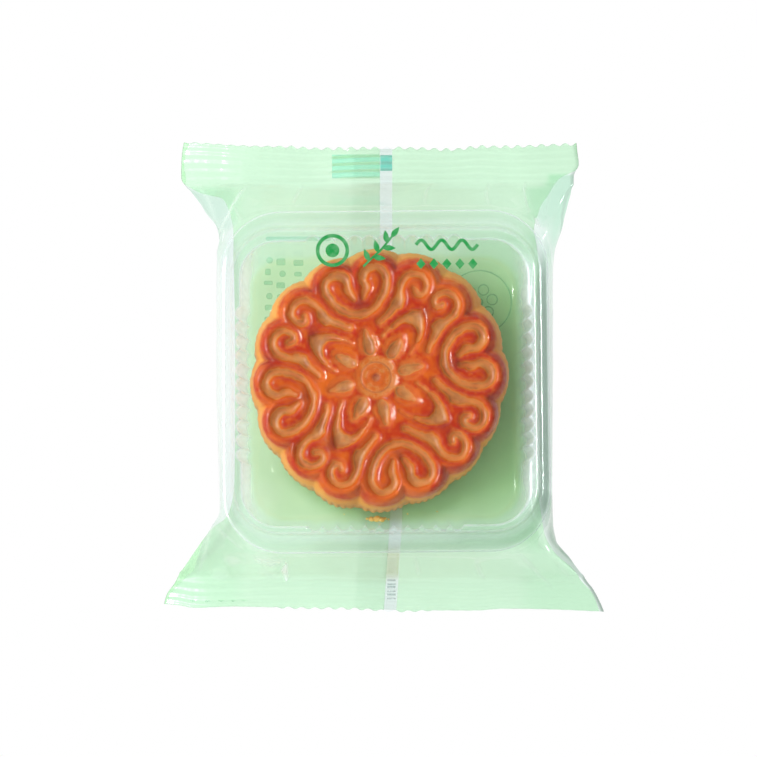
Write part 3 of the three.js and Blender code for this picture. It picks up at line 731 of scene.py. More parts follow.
def cake_mesh():
    n = 720
    theta = np.arange(n) * 2 * math.pi / n
    face = CAKE + SHIFT
    r_out = outline(theta)
    ox = face[0] + r_out * np.cos(theta)
    oy = face[1] + r_out * np.sin(theta)
    edge = np.column_stack([ox, oy]) - CAKE  # outline about the rosette
    dir_out = edge / np.linalg.norm(edge, axis=1)[:, None]
    sway = wobble(31, 5, 1, 3)
    slow = wobble(32, 8, 0.12, 0.35)
    slow2 = wobble(33, 8, 0.12, 0.35)

    def depth(r):
        return 0.98 + 0.42 * smooth(r, 7, 14)

    def top(x, y, inside):
        """Height of the face at points about the rosette; inside is how far the point is from the outline."""
        r = np.hypot(x, y)
        h = sample(HEIGHT, x, y)
        lift = sample(ROUND, x, y)
        dome = CREST_Z - 0.25 * (r / 30) ** 2 + 0.14 * slow(x) + 0.14 * slow2(y)
        roll = 1.75
        q = np.clip(1 - inside / roll, 0, 1)
        edge_drop = 1.7 * (1 - np.sqrt(np.maximum(1 - (0.9 * q) ** 2, 0)))
        z = dome - depth(r) * (1 - lift) * (1 - 0.5 * q) - edge_drop
        return z, h

    V, tris, quads, relief, proud, wall, rib = [], [], [], [], [], [], []
    count = 0

    def add(x, y, z, h, pr, w, rb):
        nonlocal count
        V.append(np.column_stack([x, y, z]))
        relief.append(np.broadcast_to(h, x.shape))
        proud.append(np.broadcast_to(pr, x.shape))
        wall.append(np.broadcast_to(w, x.shape))
        rib.append(np.broadcast_to(rb, x.shape))
        ids = np.arange(count, count + len(x))
        count += len(x)
        return ids

    def join(a, b):
        """Faces between an inner ring and an outer one, of the same or twice the count."""
        if len(a) == len(b):
            quads.append(np.stack([a, b, np.roll(b, -1), np.roll(a, -1)], -1))
        elif len(b) == 2 * len(a):
            a1 = np.roll(a, -1)
            b0, b1, b2 = b[0::2], b[1::2], np.roll(b[0::2], -1)
            tris.append(np.stack([a, b0, b1], -1))
            tris.append(np.stack([a, b1, a1], -1))
            tris.append(np.stack([a1, b1, b2], -1))
        else:  # fewer outwards, used on the way in underneath
            b1 = np.roll(b, -1)
            a0, am, a2 = a[0::2], a[1::2], np.roll(a[0::2], -1)
            tris.append(np.stack([a0, b, am], -1))
            tris.append(np.stack([am, b, b1], -1))
            tris.append(np.stack([am, b1, a2], -1))

    z0, h0 = top(np.zeros(1), np.zeros(1), np.full(1, 30.0))
    centre = add(np.array([CAKE[0]]), np.array([CAKE[1]]), z0, h0, sample(PROUD, np.zeros(1), np.zeros(1)), 0.0, 0.0)
    ring = None
    for lo, hi, steps, seg in ((0.3, 8.0, 27, 180), (8.0, 16.0, 28, 360)):
        for r in np.linspace(lo, hi, steps, endpoint=(hi == 16.0)):
            th = np.arange(seg) * 2 * math.pi / seg
            x, y = r * np.cos(th), r * np.sin(th)
            z, h = top(x, y, np.full(seg, 14.0))
            ids = add(x + CAKE[0], y + CAKE[1], z, h, sample(PROUD, x, y), 0.0, 0.0)
            if ring is None:
                tris.append(np.stack([np.full(seg, centre[0]), ids, np.roll(ids, -1)], -1))
            else:
                join(ring, ids)
            ring = ids
    inner = 16.0 * np.column_stack([np.cos(theta), np.sin(theta)])
    for t in np.linspace(0, 1, 55)[1:]:
        p = mix(inner, edge, t)
        x, y = p[:, 0], p[:, 1]
        inside = np.linalg.norm(edge - p, axis=1)
        z, h = top(x, y, inside)
        ids = add(x + CAKE[0], y + CAKE[1], z, h, sample(PROUD, x, y), 0.0, 0.0)
        join(ring, ids)
        ring = ids
    edge_z = z
    # the side: out under the rolled edge, down over a belly, in at the foot
    bx = CAKE[0] + edge[:, 0] - BODY[0]
    by = CAKE[1] + edge[:, 1] - BODY[1]
    phi = np.arctan2(by, bx)
    r_top = np.hypot(bx, by)
    lobes = (r_out - 28.0) / 2.3
    r_body = (32.05 + 0.75 * lobes
              + 0.42 * np.cos(2 * phi - 1.9) + 0.38 * np.cos(3 * phi - 2.0) + 0.22 * np.cos(4 * phi + 2.0)
              + 0.30 * np.cos(phi - 1.9) + 0.16 * sway(phi * 3 / 1.0)
              - 0.55 * np.exp(-((phi - 0.85) / 0.45) ** 2) - 0.4 * np.exp(-((phi - 2.6) / 0.5) ** 2) - 0.45 * np.exp(-((np.abs(phi) - math.pi) / 0.4) ** 2))
    ribs = np.abs(np.sin(55 * phi + 0.9 * np.sin(5 * phi + 1) + 0.6 * np.sin(11 * phi + 2))) ** 0.9
    ribs = ribs * (0.78 + 0.22 * wobble(34, 7, 6, 30)(phi))
    # painted shade: on the lower right, away from the light, the face's darker red-brown reaches further down the side
    shaded_lower_right = smooth(np.cos(phi + 0.85), 0.1, 0.95)
    steps = 44
    for k in range(1, steps + 1):
        t = k / steps
        # meridian by height
        knots_t = [0, .05, .13, .22, .34, .5, .7, .86, .94, .98, 1.0]
        drop = monotone(knots_t, [0, .9, 2.4, 4.4, 7.6, 12.0, 17.8, 22.2, 24.2, 24.95, 25.15])(t)
        out = monotone([0, .05, .13, .22, .34, .5, .7, .86, .94, .98, 1.0],
                       [0, .26, .54, .78, .93, 1.0, 1.0, 1.0, 1.0, 1.0, 1.0])(t)
        tuck = monotone([0, .7, .86, .94, .98, 1.0], [0, 0, .15, .65, 1.35, 2.3])(t)
        r = mix(r_top, r_body, float(out)) - float(tuck)
        z = mix(edge_z, FOOT_Z, float(drop) / 25.15)
        w = float(smooth(t, 0.2, 0.42) * (1 - smooth(t, 0.9, 0.98)))
        r = r + 0.50 * w * (ribs - 1.0)
        side = float(smooth(t, -0.02, 0.26))
        ids = add(BODY[0] + r * np.cos(phi), BODY[1] + r * np.sin(phi), z, 1.0 - 0.45 * side, 0.0, mix(side, side ** 3, shaded_lower_right), w * (1 - ribs))
        join(ring, ids)
        ring = ids
    r_foot = r
    for frac, seg in ((0.96, 720), (0.9, 720), (0.8, 360), (0.55, 180), (0.3, 90)):
        step = 720 // seg
        th, rr = phi[::step], r_foot[::step] * frac
        ids = add(BODY[0] + rr * np.cos(th), BODY[1] + rr * np.sin(th), np.full(seg, FOOT_Z - 0.02 * (frac < 0.95)), 0.65, 0.0, 1.0, 0.0)
        join(ring, ids)
        ring = ids
    last = add(np.array([BODY[0]]), np.array([BODY[1]]), np.array([FOOT_Z - 0.02]), 0.65, 0.0, 1.0, 0.0)
    tris.append(np.stack([ring, np.full(len(ring), last[0]), np.roll(ring, -1)], -1))
    return (np.vstack(V), [(np.vstack(quads), 4), (np.vstack(tris), 3)],
            {"relief": np.concatenate(relief), "proud": np.concatenate(proud),
             "wall": np.concatenate(wall), "rib": np.concatenate(rib), "scorch": scorch(np.vstack(V))})


# ----------------------------------------------------------------- the tray

FLUTE_PITCH, FLUTES = 3.5, 11

# level: half width, half length, corner radius, z, middle x, middle y, flute depth
TRAY_LEVELS = [
    (20.0, 19.6, 6.0, 1.15, 0.85, -3.05, 0.0),
    (29.5, 29.1, 7.0, 1.10, 0.85, -3.05, 0.0),
    (31.8, 31.4, 7.6, 1.06, 0.85, -3.05, 0.05),
    (33.0, 32.7, 8.0, 1.35, 0.85, -3.05, 0.25),
    (33.6, 33.3, 8.2, 2.10, 0.85, -3.05, 0.55),
    (33.9, 33.6, 8.4, 3.60, 0.85, -3.05, 0.80),
    (34.4, 34.1, 8.6, 9.0, 0.84, -3.08, 1.05),
    (34.9, 34.6, 8.8, 15.5, 0.80, -3.10, 1.20),
    (35.35, 35.1, 9.0, 21.5, 0.77, -3.10, 1.30),
    (35.50, 35.25, 9.1, 23.3, 0.76, -3.10, 1.32),
    (35.65, 35.40, 9.2, 23.85, 0.76, -3.08, 1.15),
    (36.15, 35.90, 9.7, 24.05, 0.80, -2.95, 0.55),
    (37.10, 36.90, 10.8, 24.15, 0.86, -2.65, 0.0),
    (37.55, 37.40, 11.3, 24.45, 0.87, -2.55, 0.0),
    (37.70, 37.62, 11.5, 25.2, 0.87, -2.55, 0.0),
    (37.82, 37.80, 11.7, 27.6, 0.87, -2.56, 0.0),
    (37.95, 38.05, 11.9, 28.55, 0.88, -2.62, 0.0),
    (38.40, 38.80, 12.5, 28.95, 0.90, -2.75, 0.0),
    (39.35, 40.60, 13.8, 29.06, 0.93, -2.90, 0.0),
    (40.00, 41.75, 14.6, 28.98, 0.95, -2.98, 0.0),
    (40.32, 42.15, 14.9, 28.65, 0.95, -3.00, 0.0),
    (40.42, 42.25, 15.0, 28.05, 0.95, -3.00, 0.0),
]
TRAY_THICK = 0.3
# painted highlights: how white each level looks where the sheet bends and catches the light
TRAY_PAINTED_HIGHLIGHT = [0, 0, 0.01, 0.03, 0.03, 0.01, 0, 0, 0.03, 0.24, 0.34, 0.06, 0.0, 0.20, 0.18, 0.0, 0.05, 0.10, 0.0, 0.03, 0.24, 0.40]


def tray_contour(hx, hy, r, cx, cy, flute):
    pts, nrm = [], []
    zone = FLUTE_PITCH * FLUTES / 2
    sides = [((1, 0), (0, 1), hx, hy), ((0, 1), (-1, 0), hy, hx), ((-1, 0), (0, -1), hx, hy), ((0, -1), (1, 0), hy, hx)]
    for (n, t, reach, span) in sides:
        n, t = np.array(n, float), np.array(t, float)
        end = span - r
        inner = np.linspace(-min(zone, end), min(zone, end), FLUTES * 10 + 1)
        lead = np.linspace(-end, inner[0], 9)[:-1]
        tail = np.linspace(inner[-1], end, 9)[1:]
        along = np.concatenate([lead, inner, tail])
        swell = np.where(np.abs(along) < zone - 1e-6, np.abs(np.sin(math.pi * (along - zone) / FLUTE_PITCH)) ** 0.85, 0)
        for a, s in zip(along, swell):
            pts.append(n * (reach + flute * s) + t * a)
            nrm.append(n)
        mid = n * (reach - r) + t * end
        a0 = math.atan2(n[1], n[0])
        for k in range(1, 22):
            ang = a0 + math.pi / 2 * k / 22
            v = np.array([math.cos(ang), math.sin(ang)])
            pts.append(mid + r * v)
            nrm.append(v)
    return np.array(pts) + np.array([cx, cy]), np.array(nrm)


def tray_mesh():
    turn = math.radians(0.55)
    rot = np.array([[math.cos(turn), -math.sin(turn)], [math.sin(turn), math.cos(turn)]])
    levels = np.array(TRAY_LEVELS)
    s = np.arange(len(levels), dtype=float)
    fine = np.linspace(0, len(levels) - 1, (len(levels) - 1) * 2 + 1)
    levels = np.column_stack([monotone(s, levels[:, c])(fine) for c in range(7)])
    rings = []
    for hx, hy, r, z, cx, cy, fl in levels:
        p, n = tray_contour(hx, hy, r, cx, cy, fl)
        rings.append(np.column_stack([p, np.full(len(p), z)]))
    R = np.array(rings)
    around = R.shape[1]
    # outer skin: the inner one moved out along its normals
    du = (np.roll(R, -1, 1) - np.roll(R, 1, 1))
    dv = np.gradient(R, axis=0)
    nrm = np.cross(du, dv)
    nrm /= np.maximum(np.linalg.norm(nrm, axis=2, keepdims=True), 1e-9)
    O = R + nrm * TRAY_THICK
    O[..., 2] = np.maximum(O[..., 2], 0.55)
    allr = np.concatenate([R, O[::-1]])
    c = np.array([1.08, -3.05])
    xy = (allr[..., :2] - c) @ rot.T + c
    allr = np.dstack([xy, allr[..., 2]])
    k = allr.shape[0]
    ids = np.arange(k * around).reshape(k, around)
    quads = np.stack([ids[:-1], np.roll(ids[:-1], -1, 1), np.roll(ids[1:], -1, 1), ids[1:]], -1).reshape(-1, 4)
    verts = allr.reshape(-1, 3)
    mid_in = len(verts)
    verts = np.vstack([verts, [[c[0], c[1], R[0, 0, 2]], [c[0], c[1], O[0, 0, 2]]]])
    t1 = np.stack([np.full(around, mid_in), np.roll(ids[0], -1), ids[0]], -1)
    t2 = np.stack([np.full(around, mid_in + 1), ids[-1], np.roll(ids[-1], -1)], -1)
    level = np.concatenate([fine, fine[::-1]])[:, None]
    X, Y = allr[..., 0], allr[..., 1]
    # painted highlights: the bends' white lines, more glare on the right-hand step and wall that face the light, and
    # the left wall washed out by it
    right = smooth(X, 31, 37) * (1 - 0.75 * smooth(np.abs(Y + 3), 24, 37))
    step = smooth(level, 12.3, 13.2) * (1 - smooth(level, 18.4, 19.4))
    painted_white = np.interp(level, s, TRAY_PAINTED_HIGHLIGHT) * (1 - 0.85 * step * right)
    wall = smooth(level, 2.2, 7.5) * (1 - smooth(level, 11.6, 12.6))
    left = smooth(level, 4, 6) * (1 - smooth(level, 9, 9.8)) * smooth(-X, 30, 35)
    painted_white = np.clip(painted_white + 0.30 * wall * right + 0.38 * left, 0, 0.85)
    # painted shade: the right-hand flange band and the front ledge are tinted darker where shade falls
    painted_tray_shade = smooth(level, 12.6, 13.4) * (1 - smooth(level, 18.3, 19.2)) * smooth(X, 34, 37) * (1 - smooth(np.abs(Y + 5), 24, 38))
    # painted shadow: the rim's lower lip shows as a dark line along the front
    painted_lip_shadow = smooth(level, 20.5, 21.0) * smooth(-Y, 30, 38) * smooth(X, -20, 5)
    painted_tray_shade = np.maximum(painted_tray_shade, 0.7 * painted_lip_shadow)
    painted_tray_shade = np.maximum(painted_tray_shade, 0.30 * smooth(level, 11.5, 13.4) * (1 - smooth(level, 18.6, 19.6)) * smooth(-Y, 33, 37) * smooth(X, -28, 8))
    painted_white = painted_white * (1 - 0.8 * painted_lip_shadow)
    # painted bounce light: the base, and a little of the left wall, is tinted yellowish, standing in for warm light
    # bounced off the cake
    base = np.maximum((1 - smooth(level, 2.5, 6.0)) + 0 * X, 0.25 * left)
    tones = {"painted_white": np.append(painted_white.ravel(), [0, 0]), "painted_tray_shade": np.append(painted_tray_shade.ravel(), [0, 0]), "base": np.append(base.ravel(), [1, 1])}
    # wind so that the inner skin faces the cake
    return verts, [(quads[:, ::-1], 4), (np.vstack([t1[:, ::-1], t2[:, ::-1]]), 3)], tones


# -------------------------------------------------------- flat printed shapes

def flat_disc(cx, cy, r, n=40):
    a = np.arange(n) * 2 * math.pi / n
    v = np.vstack([[cx, cy], np.column_stack([cx + r * np.cos(a), cy + r * np.sin(a)])])
    return v, np.array([[0, 1 + k, 1 + (k + 1) % n] for k in range(n)])


def flat_ring(cx, cy, r0, r1, n=72, a0=0.0, a1=360.0):
    closed = abs(a1 - a0) >= 359.9
    m = n if closed else n + 1
    a = np.radians(np.linspace(a0, a1, m, endpoint=not closed))
    v = np.vstack([np.column_stack([cx + r * np.cos(a), cy + r * np.sin(a)]) for r in (r0, r1)])
    t = []
    for k in range(n):
        p, q = k, (k + 1) % m
        t += [[p, m + p, m + q], [p, m + q, q]]
    return v, np.array(t)


def flat_ribbon(points, widths):
    p = np.asarray(points, float)
    w = np.broadcast_to(np.asarray(widths, float), (len(p),))
    d = np.gradient(p, axis=0)
    d /= np.linalg.norm(d, axis=1)[:, None]
    nrm = np.column_stack([-d[:, 1], d[:, 0]])
    v = np.vstack([p - nrm * w[:, None] / 2, p + nrm * w[:, None] / 2])
    m = len(p)
    t = []
    for k in range(m - 1):
        t += [[k, k + 1, m + k + 1], [k, m + k + 1, m + k]]
    return v, np.array(t)


def flat_leaf(x, y, angle, length, width, n=14):
    t = np.linspace(0.02, 0.98, n)
    d = unit(angle)
    p = np.array([x, y]) + np.outer(t * length, d)
    return flat_ribbon(p, width * np.sin(math.pi * t ** 0.8) + 0.04)


def flat_poly(points):
    v = np.asarray(points, float)
    return v, np.array([[0, k, k + 1] for k in range(1, len(v) - 1)])


def rounded_rect(x0, y0, x1, y1, r, n=6):
    pts = []
    for cx, cy, a in ((x1 - r, y1 - r, 0), (x0 + r, y1 - r, 90), (x0 + r, y0 + r, 180), (x1 - r, y0 + r, 270)):
        for k in range(n + 1):
            u = unit(a + 90 * k / n)
            pts.append((cx + r * u[0], cy + r * u[1]))
    return flat_poly(pts)


def ink(name, shapes, level, lift, thick, material, tags=None):
    """Closed slivers of ink on a film whose height is level(x, y)."""
    V, Q, T, tag = [], [], [], []
    base = 0
    for si, (v, t) in enumerate(shapes):
        z = level(v[:, 0], v[:, 1]) + lift
        area = np.cross(v[t[:, 1]] - v[t[:, 0]], v[t[:, 2]] - v[t[:, 0]])
        t = np.where(area[:, None] < 0, t[:, ::-1], t)
        m = len(v)
        V += [np.column_stack([v, z + thick]), np.column_stack([v, z])]
        T += [t + base, t[:, ::-1] + base + m]
        edges = {}
        for a, b, c in t:
            for e in ((a, b), (b, c), (c, a)):
                edges[e] = True
        rim = [e for e in edges if (e[1], e[0]) not in edges]
        Q += [[base + a, base + m + a, base + m + b, base + b] for a, b in rim]
        tag += [tags[si] if tags else 0.0] * (2 * m)
        base += 2 * m
    faces = [(np.vstack(T), 3)]
    if Q:
        faces.append((np.array(Q), 4))
    return build(name, np.vstack(V), faces, False, {"tone": np.array(tag)}, (material,))


# ---------------------------------------------------------------- materials

def srgb(r, g, b):
    return tuple(((c / 255) / 12.92 if c / 255 <= 0.04045 else ((c / 255 + 0.055) / 1.055) ** 2.4) for c in (r, g, b)) + (1.0,)


class Tree:
    """A few short words for making shader nodes."""

    def __init__(self, name):
        self.m = bpy.data.materials.new(name)
        self.m.use_nodes = True
        self.nt = self.m.node_tree
        self.nt.nodes.clear()
        self.out = self.nt.nodes.new("ShaderNodeOutputMaterial")

    def node(self, kind, inputs=None, **props):
        n = self.nt.nodes.new(kind)
        for k, v in props.items():
            setattr(n, k, v)
        for k, v in (inputs or {}).items():
            s = n.inputs[k]
            if isinstance(v, bpy.types.NodeSocket):
                self.nt.links.new(v, s)
            else:
                s.default_value = v
        return n

    def math(self, op, a, b=None, c=None, clamp=False):
        n = self.node("ShaderNodeMath", operation=op, use_clamp=clamp)
        for i, v in enumerate((a, b, c)):
            if v is None:
                continue
            if isinstance(v, bpy.types.NodeSocket):
                self.nt.links.new(v, n.inputs[i])
            else:
                n.inputs[i].default_value = v
        return n.outputs[0]

    def attr(self, name):
        return self.node("ShaderNodeAttribute", attribute_name=name).outputs["Fac"]

    def mapped(self, fac, lo, hi, a=0.0, b=1.0, kind="SMOOTHSTEP"):
        n = self.node("ShaderNodeMapRange", {"Value": fac, "From Min": lo, "From Max": hi, "To Min": a, "To Max": b},
                      interpolation_type=kind)
        return n.outputs["Result"]

    def colour(self, fac, a, b):
        n = self.node("ShaderNodeMix", data_type="RGBA")
        for s, v in ((n.inputs["Factor"], fac), (n.inputs[6], a), (n.inputs[7], b)):
            if isinstance(v, bpy.types.NodeSocket):
                self.nt.links.new(v, s)
            else:
                s.default_value = v
        return n.outputs[2]

    def coords(self):
        return self.node("ShaderNodeTexCoord").outputs["Object"]

    def noise(self, scale, detail=2.0, rough=0.5, vector=None, distortion=0.0):
        n = self.node("ShaderNodeTexNoise", {"Scale": scale, "Detail": detail, "Roughness": rough, "Distortion": distortion})
        self.nt.links.new(vector if vector is not None else self.coords(), n.inputs["Vector"])
        return n.outputs["Fac"]

    def stretched(self, x, y, z):
        n = self.node("ShaderNodeMapping", {"Vector": self.coords(), "Scale": (x, y, z)})
        return n.outputs["Vector"]

    def bump(self, height, strength, distance, normal=None):
        n = self.node("ShaderNodeBump", {"Strength": strength, "Distance": distance, "Height": height})
        if normal is not None:
            self.nt.links.new(normal, n.inputs["Normal"])
        return n.outputs["Normal"]

    def shader_mix(self, fac, a, b):
        n = self.node("ShaderNodeMixShader")
        for s, v in ((n.inputs[0], fac), (n.inputs[1], a), (n.inputs[2], b)):
            if isinstance(v, bpy.types.NodeSocket):
                self.nt.links.new(v, s)
            else:
                s.default_value = v
        return n.outputs[0]

    def done(self, shader):
        self.nt.links.new(shader, self.out.inputs["Surface"])
        return self.m


def clear_layers(t, f0, gloss_rough, haze, haze_colour, normal, tint=(1, 1, 1, 1), grazing=1.0, painted_white=None):
    """Thin clear plastic: see-through, a sharper reflection the flatter it is seen, and
    a little milkiness that adds up where it is seen edge-on."""
    facing = t.node("ShaderNodeLayerWeight", {"Blend": 0.5}).outputs["Facing"]
    p5 = t.math("POWER", facing, 5.0)
    fac = t.math("MULTIPLY_ADD", p5, grazing - f0, f0, clamp=True)
    see = t.node("ShaderNodeBsdfTransparent", {"Color": tint}).outputs[0]
    gloss = t.node("ShaderNodeBsdfGlossy", {"Color": (1, 1, 1, 1), "Roughness": gloss_rough}).outputs[0]
    if normal is not None:
        t.nt.links.new(normal, gloss.node.inputs["Normal"])
    body = t.shader_mix(fac, see, gloss)
    cosine = t.math("MAXIMUM", t.math("SUBTRACT", 1.0, facing), 0.12)
    milk_and_glint = t.math("DIVIDE", haze, cosine, clamp=True)
    # painted_white adds painted highlights: white standing in for reflected light
    if painted_white is not None:
        milk_and_glint = t.math("ADD", milk_and_glint, painted_white, clamp=True)
    d = t.node("ShaderNodeBsdfDiffuse", {"Color": haze_colour}).outputs[0]
    tr = t.node("ShaderNodeBsdfTranslucent", {"Color": haze_colour}).outputs[0]
    both = t.shader_mix(0.5, d, tr)
    return t.shader_mix(milk_and_glint, body, both)


def film_material():
    t = Tree("wrap_film")
    green = t.attr("green")
    # ripples of the film, long across the crimps' pull
    n1 = t.noise(140.0, 3.0, 0.55, t.stretched(1.0, 0.45, 1.0))
    n2 = t.noise(900.0, 2.0, 0.5)
    bump = t.bump(n1, 0.25, 0.0010)
    bump = t.bump(n2, 0.08, 0.00012, bump)
    tint = t.colour(t.attr("mint"), (0.972, 0.994, 0.995, 1), (0.775, 0.930, 0.840, 1))
    # painted shade: a grey-green tint where painted_shade is set
    tint = t.colour(t.attr("painted_shade"), tint, (0.60, 0.68, 0.63, 1))
    along = t.node("ShaderNodeSeparateXYZ", {"Vector": t.coords()}).outputs["Y"]
    pressed = t.math("ABSOLUTE", along)
    # the clear film's painted glints come in as painted white, over its own slight haze
    clear = clear_layers(t, 0.024, t.mapped(pressed, 0.0480, 0.0510, 0.10, 0.13), 0.003, (0.95, 1.0, 0.99, 1), bump, tint, grazing=0.6, painted_white=t.attr("milk_and_glint"))
    # the printed ground: pale green ink under gloss
    mottled = t.noise(60.0, 3.0, 0.6)
    ground = t.colour(t.mapped(mottled, 0.3, 0.7), (0.545, 0.80, 0.560, 1), (0.575, 0.835, 0.590, 1))
    d = t.node("ShaderNodeBsdfDiffuse", {"Color": ground, "Normal": bump}).outputs[0]
    tr = t.node("ShaderNodeBsdfTranslucent", {"Color": ground, "Normal": bump}).outputs[0]
    body = t.shader_mix(0.52, d, tr)
    see = t.node("ShaderNodeBsdfTransparent", {"Color": (0.80, 0.97, 0.82, 1)}).outputs[0]
    body = t.shader_mix(0.30, body, see)
    facing = t.node("ShaderNodeLayerWeight", {"Blend": 0.5}).outputs["Facing"]
    fac = t.math("MULTIPLY_ADD", t.math("POWER", facing, 5.0), 0.45, t.mapped(pressed, 0.0480, 0.0510, 0.035, 0.010), clamp=True)
    gloss = t.node("ShaderNodeBsdfGlossy", {"Color": (1, 1, 1, 1), "Roughness": t.mapped(pressed, 0.0480, 0.0510, 0.16, 0.32), "Normal": bump}).outputs[0]
    printed = t.shader_mix(fac, body, gloss)
    return t.done(t.shader_mix(t.mapped(green, -0.08, 0.08), clear, printed))


def seam_material():
    t = Tree("seam_film")
    n1 = t.noise(200.0, 3.0, 0.55, t.stretched(1.0, 0.3, 1.0))
    bump = t.bump(n1, 0.3, 0.0006)
    tint = t.colour(t.attr("bare"), (0.972, 0.985, 0.975, 1), (0.885, 0.935, 0.905, 1))
    tint = t.colour(t.attr("warm"), tint, (0.78, 0.84, 0.70, 1))
    return t.done(clear_layers(t, 0.03, 0.14, 0.025, (0.80, 0.85, 0.87, 1), bump, tint))


def tray_material():
    t = Tree("tray_sheet")
    n1 = t.noise(70.0, 2.0, 0.5)
    flow = t.noise(260.0, 2.0, 0.6, t.stretched(1.0, 1.0, 0.15))
    bump = t.bump(n1, 0.2, 0.0008)
    bump = t.bump(flow, 0.12, 0.0002, bump)
    # painted bounce light: a yellowish tint where base is set
    tint = t.colour(t.attr("base"), (0.985, 0.995, 0.995, 1), (0.978, 0.995, 0.915, 1))
    # painted shade: a darker grey-green tint where painted_tray_shade is set
    tint = t.colour(t.attr("painted_tray_shade"), tint, (0.66, 0.73, 0.69, 1))
    # the tray's painted highlights, broken up by the flow noise
    streak = t.mapped(flow, 0.35, 0.65, 0.75, 1.15, kind="LINEAR")
    painted_white = t.math("MULTIPLY", t.attr("painted_white"), streak)
    return t.done(clear_layers(t, 0.024, 0.10, 0.007, (0.94, 0.965, 1.0, 1), bump, tint, grazing=0.25, painted_white=painted_white))


def ink_material(name, colours, alpha, rough=0.35):
    t = Tree(name)
    tone = t.attr("tone")
    base = colours[0]
    for k, c in enumerate(colours[1:], 1):
        base = t.colour(t.mapped(tone, k - 0.6, k - 0.4, kind="LINEAR"), base, c)
    fade = t.noise(500.0, 3.0, 0.6)
    col = t.colour(t.mapped(fade, 0.35, 0.75, 0.0, 0.10), base, (0.75, 0.9, 0.76, 1))
    p = t.node("ShaderNodeBsdfPrincipled", {"Base Color": col, "Roughness": rough, "Specular IOR Level": 0.25})
    see = t.node("ShaderNodeBsdfTransparent").outputs[0]
    return t.done(t.shader_mix(alpha, see, p.outputs[0]))


